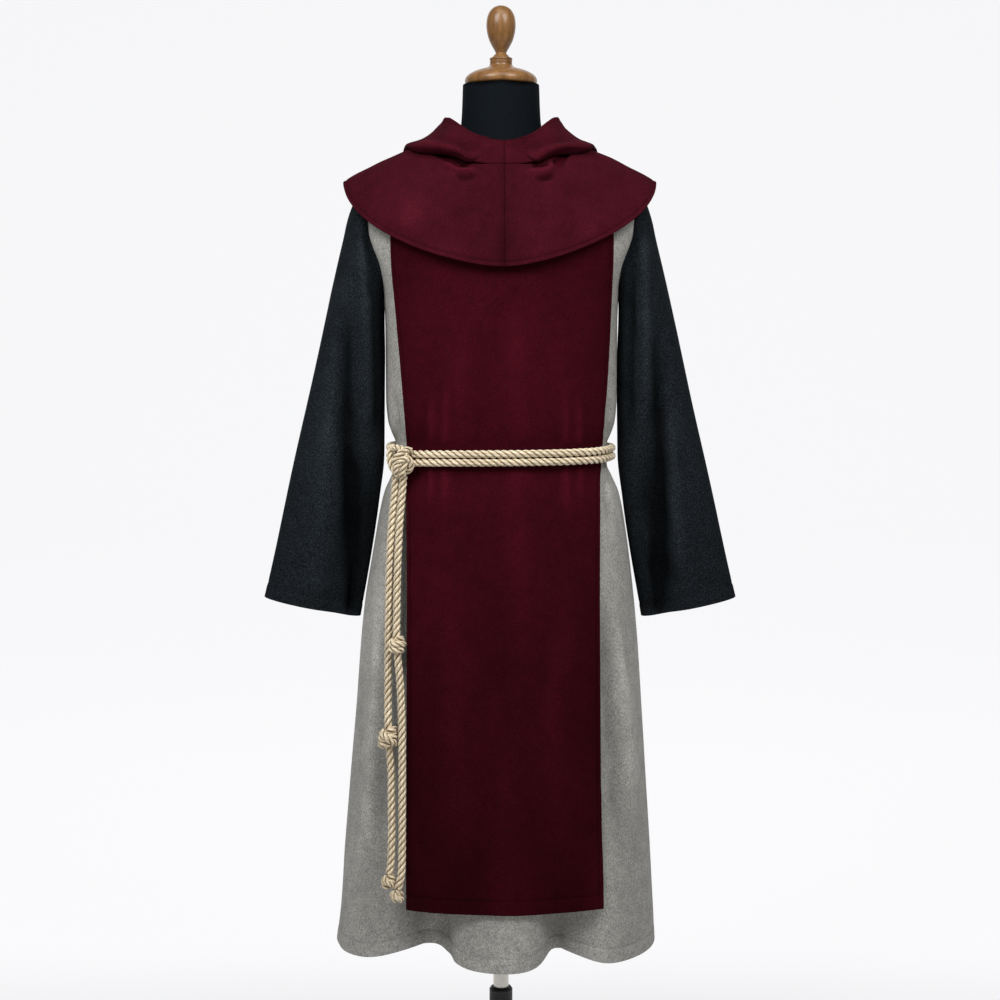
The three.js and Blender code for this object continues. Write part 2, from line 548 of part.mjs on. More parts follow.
const ringBottom = capTop + WOOD_GAP;
const eggBottom = ringBottom + RING_HEIGHT;
const eggArc = places(9, -78, 90).map((angle) => [
  EGG_RADIUS * Math.cos(radians(angle)) ** 0.9,
  eggBottom + EGG_HEIGHT * (0.52 + 0.48 * Math.sin(radians(angle))),
]);
turned("finial", [
  [0, ringBottom], [RING_RADIUS - 2, ringBottom], [RING_RADIUS, ringBottom + 3],
  [RING_RADIUS, ringBottom + RING_HEIGHT - 3], [RING_RADIUS - 4, eggBottom], [7, eggBottom + 1],
  [6.5, eggBottom + 4], ...eggArc.slice(1, -1), [0, eggArc.at(-1)[1]],
], 18, LOOK.wood);

// ---------------------------------------------------------------- stand
turned("base", [
  [0, 0], [BASE_RADIUS - 2, 0], [BASE_RADIUS, 3], [BASE_RADIUS - 3, 8], [BASE_RADIUS - 14, 11],
  [46, BASE_HEIGHT], [0, BASE_HEIGHT],
], 40, LOOK.black);

turned("outer_tube", [
  [TUBE_BORE, BASE_HEIGHT + SEAM], [TUBE_RADIUS, BASE_HEIGHT + SEAM], [TUBE_RADIUS, TUBE_TOP_Z],
  [TUBE_BORE, TUBE_TOP_Z], [TUBE_BORE, BASE_HEIGHT + SEAM],
], 24, LOOK.steel);

const collarBore = TUBE_RADIUS + SEAM;
turned("clamp_collar", [
  [collarBore, COLLAR_BOTTOM_Z], [COLLAR_RADIUS - 1, COLLAR_BOTTOM_Z], [COLLAR_RADIUS, COLLAR_BOTTOM_Z + 3],
  [COLLAR_RADIUS, COLLAR_TOP_Z - 4], [COLLAR_RADIUS - 3, COLLAR_TOP_Z], [TUBE_BORE, COLLAR_TOP_Z],
  [TUBE_BORE, TUBE_TOP_Z + SEAM], [collarBore, TUBE_TOP_Z + SEAM], [collarBore, COLLAR_BOTTOM_Z],
], 24, LOOK.black);

turned("inner_pole", [
  [0, POLE_BOTTOM_Z], [POLE_RADIUS, POLE_BOTTOM_Z], [POLE_RADIUS, TORSO_BOTTOM_Z - SEAM],
  [0, TORSO_BOTTOM_Z - SEAM],
], 24, LOOK.steel);

// ---------------------------------------------------------------- rope belt
const ROPE_SECTION = new THREE.Shape(places(ROPE_SIDES + 1, 0, 2 * Math.PI).slice(0, -1).map(
  (turn) => new THREE.Vector2(ROPE / 2 * Math.cos(turn), ROPE / 2 * Math.sin(turn)),
));

function ropeTube(name, route, steps) {
  const path = new THREE.CatmullRomCurve3(route.map((point) => new THREE.Vector3(...point)), false, "centripetal");
  const geometry = new THREE.ExtrudeGeometry(ROPE_SECTION, { steps, bevelEnabled: false, extrudePath: path });
  add(name, geometry, LOOK.rope);
}

// lift: the clear height of the belt above the tunic.
// The belt's two turns leave the hitch at the front left and come back to it from the back left.
const BELT_START = -40;
const BELT_END = -68 + 360;
const BELT_TURN = [
  { angle: -60, z: 1079, lift: 9 },
  { angle: -30, z: 1081, lift: 6 },
  { angle: 0, z: 1082, lift: 5.5 },
  { angle: 50, z: 1084, lift: 6.5 },
  { angle: 80, z: 1086, lift: 2 },
  { angle: 100, z: 1086, lift: 2 },
  { angle: 128, z: 1086, lift: 6.5 },
  { angle: 180, z: 1085, lift: 6 },
  { angle: 232, z: 1087, lift: 6.5 },
  { angle: 260, z: 1088, lift: 2 },
  { angle: 280, z: 1087, lift: 3 },
  { angle: 300, z: 1084, lift: 9 },
];

function beltPoint(angle, level) {
  const at = (column) => read(BELT_TURN, "angle", angle, column);
  const point = bodyPoint(WAIST, wrapped(angle), at("lift") + ROPE / 2);
  point.z = at("z") + level * ROPE_PITCH_Z / 2;
  return point.toArray();
}

for (const [name, level] of [["belt_upper", 1], ["belt_lower", -1]]) {
  ropeTube(name, places(33, BELT_START, BELT_END).map((angle) => beltPoint(angle, level)), BELT_STEPS);
}

// A knot: a short fat body, its rope turns standing out as slanted ridges.
function knot(name, { at, width, depth, height, yaw }) {
  const surface = (turn, share) => {
    const angle = 2 * Math.PI * turn;
    const ridge = 1 + KNOT_RIDGE * Math.cos(2 * angle + 3 * Math.PI * share);
    const swell = Math.sin(Math.PI * blend(KNOT_END, 1 - KNOT_END, share)) ** 0.6 * ridge;
    return new THREE.Vector3(
      swell * width / 2 * Math.sin(angle),
      swell * depth / 2 * Math.cos(angle),
      height * (share - 0.5),
    );
  };
  const mesh = add(name, filledBody(surface, places(KNOT_ROWS), KNOT_AROUND), LOOK.rope);
  mesh.position.set(...at);
  mesh.rotation.z = radians(yaw);
}

knot("belt_hitch", { at: [-151.5, -97, 1076], width: 38, depth: 27, height: 46, yaw: -38 });

// The two free ends hang from the hitch, each with a knot half way and one at its tip.
const STRAND_A_UPPER = [
  [-163, -94, 1052.2], [-165.5, -94.5, 1020], [-169, -97, 983], [-172.5, -103, 922], [-174, -113.5, 830],
  [-174.5, -124, 738], [-174.3, -132, 695], [-174, -137.5, 673.4],
];
const STRAND_A_LOWER = [
  [-171.8, -140, 631.6], [-169, -145, 600], [-168.8, -149.5, 571], [-168, -156, 510], [-169, -164, 466],
  [-171.5, -167, 445.6],
];
const STRAND_B_UPPER = [
  [-150.8, -99, 1052.2], [-153.5, -99.5, 1020], [-156.5, -102, 984], [-159.5, -110, 923], [-161, -123.5, 832],
  [-161, -130.5, 808.8],
];
const STRAND_B_LOWER = [
  [-159.5, -133.5, 781], [-155, -139, 734], [-152.4, -147, 680], [-151.8, -154.5, 619],
  [-151.6, -161, 558], [-151.8, -168, 482], [-153, -172.5, 445], [-157.5, -174.5, 424],
];
ropeTube("strand_a_upper", STRAND_A_UPPER, 13);
ropeTube("strand_a_lower", STRAND_A_LOWER, 7);
ropeTube("strand_b_upper", STRAND_B_UPPER, 8);
ropeTube("strand_b_lower", STRAND_B_LOWER, 12);
knot("strand_a_knot", { at: [-173, -139, 652.5], width: 32, depth: 27, height: 39.4, yaw: 0 });
knot("strand_a_tip", { at: [-172.5, -167.5, 434], width: 21, depth: 20, height: 21, yaw: 0 });
knot("strand_b_knot", { at: [-160.8, -134, 795], width: 26, depth: 24, height: 25, yaw: 0 });
knot("strand_b_tip", { at: [-159.5, -175, 412.8], width: 21, depth: 20, height: 20, yaw: 0 });

export default habit;
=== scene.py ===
"""The looks of a monk's habit on a dress form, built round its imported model.

Lengths in the tables are millimetres; the meshes are made in metres.
"""

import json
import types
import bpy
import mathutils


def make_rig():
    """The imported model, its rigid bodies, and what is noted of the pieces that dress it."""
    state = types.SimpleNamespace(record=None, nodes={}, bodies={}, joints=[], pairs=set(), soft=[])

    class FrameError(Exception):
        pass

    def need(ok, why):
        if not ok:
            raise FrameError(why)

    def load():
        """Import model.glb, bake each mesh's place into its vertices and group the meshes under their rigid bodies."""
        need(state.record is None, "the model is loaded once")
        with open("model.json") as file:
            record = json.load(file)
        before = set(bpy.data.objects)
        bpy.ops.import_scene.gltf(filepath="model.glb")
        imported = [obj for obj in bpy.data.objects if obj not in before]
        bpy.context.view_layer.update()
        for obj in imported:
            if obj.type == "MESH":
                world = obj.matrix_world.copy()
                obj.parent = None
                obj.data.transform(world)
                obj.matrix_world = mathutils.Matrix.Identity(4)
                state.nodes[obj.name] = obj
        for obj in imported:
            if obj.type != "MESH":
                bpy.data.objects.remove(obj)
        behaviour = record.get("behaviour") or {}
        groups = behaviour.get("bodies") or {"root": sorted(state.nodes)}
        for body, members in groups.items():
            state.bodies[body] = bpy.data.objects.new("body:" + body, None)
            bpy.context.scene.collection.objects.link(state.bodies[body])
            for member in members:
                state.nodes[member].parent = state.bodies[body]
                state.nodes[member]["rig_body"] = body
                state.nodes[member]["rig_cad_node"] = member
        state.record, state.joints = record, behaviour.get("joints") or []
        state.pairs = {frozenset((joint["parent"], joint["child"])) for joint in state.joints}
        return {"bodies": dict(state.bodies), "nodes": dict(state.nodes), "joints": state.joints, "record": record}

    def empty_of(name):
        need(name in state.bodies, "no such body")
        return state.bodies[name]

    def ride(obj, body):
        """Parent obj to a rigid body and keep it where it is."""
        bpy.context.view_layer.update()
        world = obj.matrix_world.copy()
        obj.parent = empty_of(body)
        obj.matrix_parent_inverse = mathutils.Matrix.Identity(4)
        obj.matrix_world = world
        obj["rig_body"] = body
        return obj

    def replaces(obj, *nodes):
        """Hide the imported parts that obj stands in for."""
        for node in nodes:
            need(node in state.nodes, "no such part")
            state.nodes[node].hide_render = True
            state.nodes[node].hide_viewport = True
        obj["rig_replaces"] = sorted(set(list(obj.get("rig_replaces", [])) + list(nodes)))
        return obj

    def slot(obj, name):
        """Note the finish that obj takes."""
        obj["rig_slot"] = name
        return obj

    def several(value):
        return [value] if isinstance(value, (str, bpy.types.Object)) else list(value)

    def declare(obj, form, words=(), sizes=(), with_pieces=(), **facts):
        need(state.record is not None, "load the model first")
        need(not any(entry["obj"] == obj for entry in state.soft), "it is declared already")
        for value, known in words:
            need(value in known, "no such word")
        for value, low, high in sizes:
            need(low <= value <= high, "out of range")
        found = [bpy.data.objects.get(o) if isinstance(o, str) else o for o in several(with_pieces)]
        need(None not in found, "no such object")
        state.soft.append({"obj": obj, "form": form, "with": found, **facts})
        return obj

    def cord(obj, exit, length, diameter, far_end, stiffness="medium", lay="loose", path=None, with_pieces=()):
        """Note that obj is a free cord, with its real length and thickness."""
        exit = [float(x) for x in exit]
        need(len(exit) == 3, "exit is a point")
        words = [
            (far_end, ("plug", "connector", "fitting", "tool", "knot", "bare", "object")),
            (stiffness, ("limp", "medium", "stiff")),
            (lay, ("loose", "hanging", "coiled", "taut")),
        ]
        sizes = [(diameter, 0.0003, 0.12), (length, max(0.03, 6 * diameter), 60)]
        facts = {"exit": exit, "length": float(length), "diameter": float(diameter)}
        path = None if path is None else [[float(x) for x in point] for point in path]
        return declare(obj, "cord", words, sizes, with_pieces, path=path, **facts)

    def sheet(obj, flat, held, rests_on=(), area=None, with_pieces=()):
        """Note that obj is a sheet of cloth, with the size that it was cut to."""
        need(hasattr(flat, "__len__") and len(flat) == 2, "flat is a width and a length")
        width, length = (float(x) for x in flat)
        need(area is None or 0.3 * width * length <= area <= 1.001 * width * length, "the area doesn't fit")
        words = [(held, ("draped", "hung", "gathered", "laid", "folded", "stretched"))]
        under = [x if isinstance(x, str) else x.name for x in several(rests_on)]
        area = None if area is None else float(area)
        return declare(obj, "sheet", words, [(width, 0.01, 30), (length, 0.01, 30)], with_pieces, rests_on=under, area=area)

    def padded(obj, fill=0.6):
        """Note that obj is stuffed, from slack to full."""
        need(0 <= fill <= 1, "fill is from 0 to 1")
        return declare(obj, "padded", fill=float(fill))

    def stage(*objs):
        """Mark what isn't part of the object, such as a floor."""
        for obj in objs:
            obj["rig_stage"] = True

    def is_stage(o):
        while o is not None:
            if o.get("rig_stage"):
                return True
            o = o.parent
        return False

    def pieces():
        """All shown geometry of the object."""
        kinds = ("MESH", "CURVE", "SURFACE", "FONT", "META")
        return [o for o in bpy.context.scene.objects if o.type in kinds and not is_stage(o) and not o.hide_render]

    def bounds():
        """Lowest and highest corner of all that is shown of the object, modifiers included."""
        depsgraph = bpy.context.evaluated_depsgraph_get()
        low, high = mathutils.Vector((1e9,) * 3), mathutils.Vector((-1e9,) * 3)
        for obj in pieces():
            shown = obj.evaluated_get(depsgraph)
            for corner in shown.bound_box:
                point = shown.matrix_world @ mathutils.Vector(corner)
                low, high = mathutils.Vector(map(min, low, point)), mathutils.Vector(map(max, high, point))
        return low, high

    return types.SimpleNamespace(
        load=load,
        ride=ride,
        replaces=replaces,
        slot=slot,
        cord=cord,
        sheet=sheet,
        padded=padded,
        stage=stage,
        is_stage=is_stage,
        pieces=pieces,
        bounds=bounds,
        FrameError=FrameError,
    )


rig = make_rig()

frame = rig.load()

import json
import math

import bpy
import numpy as np
from mathutils import Vector

MM = 0.001
cad_low, cad_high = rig.bounds()

# ---- camera
CAMERA_TARGET = Vector((-0.0016, 0, 1.008))
CAMERA_DISTANCE = 3.0
CAMERA_ELEVATION = math.radians(4.5)
camera = bpy.data.objects.new("camera", bpy.data.cameras.new("camera"))
camera.data.lens = 67.5
camera.data.sensor_width = 36
camera.location = CAMERA_TARGET + CAMERA_DISTANCE * Vector(
    (0, -math.cos(CAMERA_ELEVATION), math.sin(CAMERA_ELEVATION)))
camera.rotation_euler = (math.pi / 2 - CAMERA_ELEVATION, 0, 0)
bpy.context.scene.collection.objects.link(camera)
bpy.context.scene.camera = camera


# ---- tables
def table(columns, text):
    """Named columns of numbers, from text with one row a line."""
    values = np.array([line.split() for line in text.strip().split("\n")], float)
    return dict(zip(columns.split(), values.T))


# A ring lies round the body or the neck at a station, measured down the cloth. side_z, front_z and back_z are
# its heights, and square is how far it departs from an ellipse, which has 2.
RING = "station half_width shift front back side_z front_z back_z square"
TUNIC = table(RING, """
0 84 0 84 80 1566 1515 1562 2.1
50 130 0 99 95 1545 1488 1535 2.15
100 175 0 111 106 1524 1456 1500 2.25
150 215 0 120 113 1503 1425 1462 2.35
200 219 0 127 118 1440 1392 1415 2.4
250 197 0 131 120 1375 1352 1362 2.4
285 186 0 132 120 1338 1328 1333 2.4
345 183.5 0 132 118 1275 1275 1275 2.4
450 183 0 127 112 1170 1170 1170 2.45
485 180 0 122.5 107.5 1135 1135 1135 2.5
505 173.5 0 119.5 105 1115 1115 1115 2.5
520 168 0 116.5 102.5 1100 1100 1100 2.5
554 168 0 116.5 102.5 1066 1066 1066 2.5
572 175 0 120 106.5 1048 1048 1048 2.45
600 187 0 127 115.5 1020 1020 1020 2.4
660 199 0 136 126 960 960 960 2.3
775 215 -2 149 141 847 847 847 2.25
940 229 -3 167 159 684 684 684 2.2
1100 241.5 -5 183 174 520 520 520 2.2
1265 252 -6 199 188 355 355 355 2.2
1320 257 -8 205 193 300 300 300 2.2
""")
WAIST = 537
ARMHOLE_TOP = 150
ARMHOLE_BOTTOM = 285
ARMHOLE_CUT = 22
BELT_EDGE = 22          # from the belt's middle to where the cloth is free again
TUNIC_HEM = 1320
SCAPULAR_TOP = 12
SCAPULAR_HEM = 1230
HEM_STITCH = 22         # from a hem to its stitched line, on the tunic and the scapular
CUFF_STITCH = 24
EDGE_STITCH = 7.5       # the same on the scapular's sides, the cape and the hood

# Folds of the skirt: angle from the centre front, spread, depth, how much the hem rises in the
# trough, and the station where the fold starts.
SKIRT_FOLDS = [
    (-29, 15, 66, 26, 700),
    (25, 10.5, 56, 21, 760),
    (-112, 10, 34, 12, 860),
    (110, 9, 26, 8, 900),
    (140, 12, 52, 20, 720),
    (171, 11, 46, 16, 780),
    (-152, 13, 58, 22, 700),
]
SCAPULAR = table("station left right gap", """
0 156 156 6.6
110 158 158 6.6
150 162 163 3
200 168 170.5 2
345 158 167 1.4
500 146 157 1.6
537 144 154 1.5
600 144 151 3.4
775 144 151.5 1.5
1230 144.5 153.5 2
""")
CAPE = table(RING, """
0 88 0 92 86 1582 1532 1585 2.1
0.33 141 -1 116.5 117 1561.5 1484 1530 2.2
0.67 197 -2 135 138 1537 1432 1466 2.3
1 246 -2 146 153 1510 1373 1395 2.35
1.5 280 -2 160 160 1470 1290 1292 2.4
""")
HOOD = table("angle fold turn bag bulge edge_x edge_y edge_z", """
0 0 0.02 0 0 0 -76 1569
9 0 0.02 0 0 13 -75 1570
16 0.2 0.02 0 0 22.5 -73 1572.5
22 0.52 0.022 1 0 31 -70.5 1575.5
28 0.82 0.035 4 0 39 -66 1578.5
35 1 0.06 8 1 47 -61.5 1582.5
42 1 0.085 12 2 54 -56 1587
52 1 0.13 14 2 63 -45 1595
62 1 0.2 13 0 72 -32 1603
74 1 0.29 10 -3 81.5 -14 1610.5
90 1 0.36 6 -5 89 6 1613
115 1 0.46 9 -3 90 42 1612
140 1 0.86 22 10 71 82 1608
162 1 1.22 30 18 36 106 1601
180 1 1.36 32 20 0 113 1598
""")
SLEEVE = table("station outer_x outer_z inner_x inner_z half_depth", """
0 215 1503 187 1337 52
0.04 228 1492 187.5 1318 60
0.09 238 1466 187.2 1296 66
0.15 247 1425 186.2 1265 69
0.23 259 1375 185.4 1228 69
0.35 276.5 1298 185.4 1170 65
0.52 303.5 1180 186 1085 58
0.69 331.5 1058 195 1008 51
0.85 357.5 945 211 905 45
1 378.5 853 225.5 822 40
""")
# Folds of the sleeve: angle round the arm, 90 at the front and 270 at the back, spread, depth, and the
# stations where the fold starts and ends.
SLEEVE_FOLDS = [
    (118, 17, 11, 0.5, 1.2),
    (62, 15, 6, 0.1, 0.7),
    (246, 17, 10, 0.45, 1.2),
    (300, 14, 6, 0.15, 0.7),
]
TORSO = table(RING, """
0 150 0 96 100 853 853 853 2.2
12 164 0 108 112 862 862 862 2.2
70 170 0 112 114 920 920 920 2.2
150 164 0 108 104 1000 1000 1000 2.25
233 152 0 104 92 1083 1083 1083 2.3
320 160 0 112 98 1170 1170 1170 2.35
425 170 0 120 106 1275 1275 1275 2.35
500 176 0 121 108 1340 1340 1340 2.35
560 190 0 113 104 1412 1384 1398 2.3
600 199 0 106 98 1470 1425 1445 2.3
620 186 0 99 93 1499 1452 1473 2.25
650 140 0 86 84 1526 1486 1508 2.15
680 96 0 74 72 1549 1516 1540 2.05
705 72 0 66 65 1574 1550 1570 2
735 62.5 0 61 61 1606 1590 1606 2
790 60 0 59 59 1662 1662 1662 2
""")
WOOL = 2.0              # thickness of the cloth
SEAM = 0.36             # clear gap between two sewn pieces
HALF_SEAM = 0.07        # half the gap that is left between two sewn halves
FRONT_OFFSET = 5        # the centre front seam of cape and hood sits this far to +X
FRONT_OFFSET_REACH = 80
HOOD_LAY = 4.5          # the hood's underside lies this far off the cape


# ---- small helpers
def smooth(start, end, value):
    share = np.clip((np.asarray(value, float) - start) / (end - start), 0, 1)
    return share * share * (3 - 2 * share)


def wrapped(angle):
    return (np.asarray(angle, float) + 180) % 360 - 180


def signed_power(value, power):
    return np.sign(value) * np.abs(value) ** power


def read(rows, key, place, column):
    """A column of a table at any place between its rows, smoothly and without overshoot."""
    x, y = rows[key], rows[column]
    place = np.asarray(place, float)
    row = np.clip(np.searchsorted(x, place) - 1, 0, len(x) - 2)
    span = np.diff(x)
    rise = np.diff(y) / span
    slope = np.concatenate([rise[:1], np.zeros(len(x) - 2), rise[-1:]])
    product = rise[:-1] * rise[1:]
    same = product > 0
    slope[1:-1][same] = 2 * product[same] / (rise[:-1] + rise[1:])[same]
    t = (place - x[row]) / span[row]
    bend = t * t * (3 - 2 * t)
    leave = t * (1 - t) ** 2 * span[row] * slope[row]
    arrive = t * t * (t - 1) * span[row] * slope[row + 1]
    return y[row] * (1 - bend) + y[row + 1] * bend + leave + arrive


def crest_fall(angle, power, soft, flat=0.0):
    """How far a ring has dropped from its side height to its centre height; flat rounds the centre."""
    to_side = np.abs(np.abs(wrapped(angle)) - 90) / 90

    def rounded(away):
        return 1 - (1 - (np.hypot(away, soft) - soft)) ** power
    if not flat:
        return rounded(to_side) / rounded(1.0)
    from_centre = 1 - (np.hypot(to_side, soft) - soft) / (math.hypot(1, soft) - soft)
    return 1 - ((np.hypot(from_centre, flat) - flat) / (math.hypot(1, flat) - flat)) ** power


def ring_point(rings, station, angle, power, soft, flat=0.0):
    """Points of a ring table's surface; angle is 0 at the front and 90 at +X."""
    station, angle = np.broadcast_arrays(np.asarray(station, float), np.asarray(angle, float))

    def at(column):
        return read(rings, "station", station, column)
    ahead = np.abs(wrapped(angle)) < 90
    exponent = 2 / at("square")
    cosine = np.abs(np.cos(np.radians(angle))) ** exponent
    drop = np.where(ahead, at("front_z"), at("back_z")) - at("side_z")
    point = np.stack([
        at("shift") + at("half_width") * signed_power(np.sin(np.radians(angle)), exponent),
        np.where(ahead, -at("front") * cosine, at("back") * cosine),
        at("side_z") + drop * crest_fall(angle, power, soft, flat),
    ], axis=-1)
    return neck_dip(point)


def raised(rings, crest, step, station, angle, lifted):
    """Points of a ring table's surface, lifted off it; step is a short way along its stations."""
    point = ring_point(rings, station, angle, *crest)
    if np.all(np.asarray(lifted) == 0):
        return point
    left = ring_point(rings, station, angle - 0.5, *crest)
    right = ring_point(rings, station, angle + 0.5, *crest)
    above = ring_point(rings, np.asarray(station) - step, angle, *crest)
    below = ring_point(rings, np.asarray(station) + step, angle, *crest)
    return point - unit(np.cross(right - left, below - above)) * np.asarray(lifted)[..., None]


DIP = 10
DIP_FROM_CENTRE = 46
DIP_WIDTH = 24
DIP_LOWEST = 1400


def neck_dip(point):
    """Lays every neckline flat across the front: each lies lower beside the centre."""
    x, y, z = point[..., 0], point[..., 1], point[..., 2]
    beside = np.exp(-((np.abs(x) - DIP_FROM_CENTRE) / DIP_WIDTH) ** 2)
    near = smooth(-35, -65, y) * smooth(128, 94, np.hypot(x, y)) * (z > DIP_LOWEST)
    point[..., 2] -= DIP * beside * near
    return point


def unit(vectors):
    return vectors / np.maximum(np.linalg.norm(vectors, axis=-1, keepdims=True), 1e-9)


RIPPLE_WAVES = 9


def ripple(points, wavelength, seed, stretch=(1, 1, 1)):
    """A soft uneven field from about -1 to 1, the same on every run."""
    chance = np.random.default_rng(seed)
    total = np.zeros(points.shape[:-1])
    for _ in range(RIPPLE_WAVES):
        direction = unit(chance.normal(size=3)) * np.asarray(stretch, float)
        pace = 2 * math.pi / (wavelength * chance.uniform(0.65, 1.6))
        total += np.sin(points @ direction * pace + chance.uniform(0, 2 * math.pi))
    return total / math.sqrt(RIPPLE_WAVES)


def crease_rows(text):
    """Creases, one a line: width, rise (below 0 for a trough), the share of it that each end
    takes to come up where that isn't 0.3, and after the stroke its route of x z points."""
    rows = []
    for line in text.strip().split("\n"):
        size, route = (np.array(part.replace(",", " ").split(), float) for part in line.split("/"))
        rows.append((size[0], size[1], route.reshape(-1, 2), size[2:] if len(size) > 2 else (0.3, 0.3)))
    return rows


def crease(points, seed, width, rise, route, fade):
    """The height of one crease over its route."""
    fine = curve_through(np.column_stack([route[:, 0], np.zeros(len(route)), route[:, 1]]), 14 * len(route))
    flat = points[..., [0, 2]]
    nearest = np.full(flat.shape[:-1], 1e9)
    along = np.zeros(flat.shape[:-1])
    for i, (start, end) in enumerate(zip(fine[:-1, [0, 2]], fine[1:, [0, 2]])):
        step = end - start
        t = np.clip(((flat - start) @ step) / max(step @ step, 1e-9), 0, 1)
        away = np.linalg.norm(flat - (start + t[..., None] * step), axis=-1)
        closer = away < nearest
        nearest = np.where(closer, away, nearest)
        along = np.where(closer, (i + t) / (len(fine) - 1), along)
    uneven = width * (1 + 0.22 * ripple(points, 8 * width, seed + 11))
    bell = np.exp(-(nearest / uneven) ** 2)
    start_fade = smooth(0, fade[0], along) if fade[0] else 1
    end_fade = 1 - smooth(1 - fade[1], 1, along) if fade[1] else 1
    return rise * bell * start_fade * end_fade * (1 + 0.18 * ripple(points, 90, seed + 5))


def creases(points, rows):
    return sum(crease(points, 7 * i + 3, *row) for i, row in enumerate(rows))


def curve_through(points, count):
    """count points on a centripetal Catmull-Rom curve through the given ones (K, ..., 3)."""
    points = np.asarray(points, float)
    places = np.linspace(0, len(points) - 1, count)
    return np.stack([curve_at(points, place) for place in places])


def curve_at(points, place):
    spans = len(points) - 1
    i = min(int(place), spans - 1)
    t = place - i
    before = points[i - 1] if i > 0 else 2 * points[0] - points[1]
    after = points[i + 2] if i + 2 <= spans else 2 * points[-1] - points[-2]
    p0, p1, p2, p3 = before, points[i], points[i + 1], after

    def knot_span(a, b):
        return np.maximum(np.linalg.norm(b - a, axis=-1, keepdims=True) ** 0.5, 1e-4)
    d0, d1, d2 = knot_span(p0, p1), knot_span(p1, p2), knot_span(p2, p3)
    leave = ((p1 - p0) / d0 - (p2 - p0) / (d0 + d1) + (p2 - p1) / d1) * d1
    arrive = ((p2 - p1) / d1 - (p3 - p1) / (d1 + d2) + (p3 - p2) / d2) * d1
    c2 = -3 * p1 + 3 * p2 - 2 * leave - arrive
    c3 = 2 * p1 - 2 * p2 + leave + arrive
    return p1 + leave * t + c2 * t * t + c3 * t ** 3


# ---- materials
def grey(value):
    return (value, value, value)


class Material:
    """A Principled material in the making. Its methods add a node and give back the node's output."""
    def __init__(self, name, roughness, metallic=0.0):
        self.made = bpy.data.materials.new(name)
        self.made.use_nodes = True
        self.tree = self.made.node_tree
        self.shader = self.tree.nodes["Principled BSDF"]
        self.plug(self.shader, {"Roughness": roughness, "Metallic": metallic})
        self.place = self.node("TexCoord", "Object")

    def plug(self, made, inputs):
        """Links the sockets among the inputs, and sets the numbers and colours on the node itself."""
        for key, value in inputs.items():
            if isinstance(value, bpy.types.NodeSocket):
                self.tree.links.new(value, made.inputs[key])
            else:
                made.inputs[key].default_value = value

    def node(self, kind, output, inputs=None, **settings):
        made = self.tree.nodes.new("ShaderNode" + kind)
        for key, value in settings.items():
            setattr(made, key, value)
        self.plug(made, inputs or {})
        return made.outputs[output]

    def stretched(self, *scale):
        return self.node("Mapping", "Vector", {"Vector": self.place, "Scale": scale})

    def noise(self, vector, scale, detail=3.0, roughness=0.6):
        return self.node("TexNoise", "Fac",
                         {"Vector": vector, "Scale": scale, "Detail": detail, "Roughness": roughness})

    def wave(self, vector, direction, scale, distortion, detail, detail_scale=1.0):
        return self.node("TexWave", "Fac", {"Vector": vector, "Scale": scale, "Distortion": distortion,
                                            "Detail": detail, "Detail Scale": detail_scale},
                         wave_type="BANDS", bands_direction=direction)

    def step(self, value, low, high):
        return self.node("MapRange", "Result", {"Value": value, "From Min": low, "From Max": high},
                         interpolation_type="SMOOTHSTEP")

    def ramp(self, factor, *stops):
        """Colours at (place, colour) stops; a plain number is a grey."""
        made = self.tree.nodes.new("ShaderNodeValToRGB")
        self.plug(made, {"Fac": factor})
        points = made.color_ramp.elements
        while len(points) < len(stops):
            points.new(0.5)
        for point, (place, colour) in zip(points, stops):
            point.position = place
            point.color = (*(colour if np.ndim(colour) else grey(colour)), 1)
        return made.outputs["Color"]

    def times(self, first, second):
        return self.node("Mix", 2, {0: 1.0, 6: first, 7: second}, data_type="RGBA", blend_type="MULTIPLY")

    def weighed(self, first, weight, second):
        return self.node("Math", 0, {0: first, 1: weight, 2: second}, operation="MULTIPLY_ADD")

    def crown(self, *stops):
        return self.ramp(self.node("Attribute", "Fac", attribute_name="crown"), *stops)

    def finish(self, colour, bump=None, sockets=None):
        """Sets the colour, a bump of (height, strength, distance) and the shader's other sockets."""
        self.plug(self.shader, {"Base Color": colour, **(sockets or {})})
        if bump:
            named = dict(zip(("Height", "Strength", "Distance"), bump))
            self.plug(self.shader, {"Normal": self.node("Bump", "Normal", named)})
        return self.made


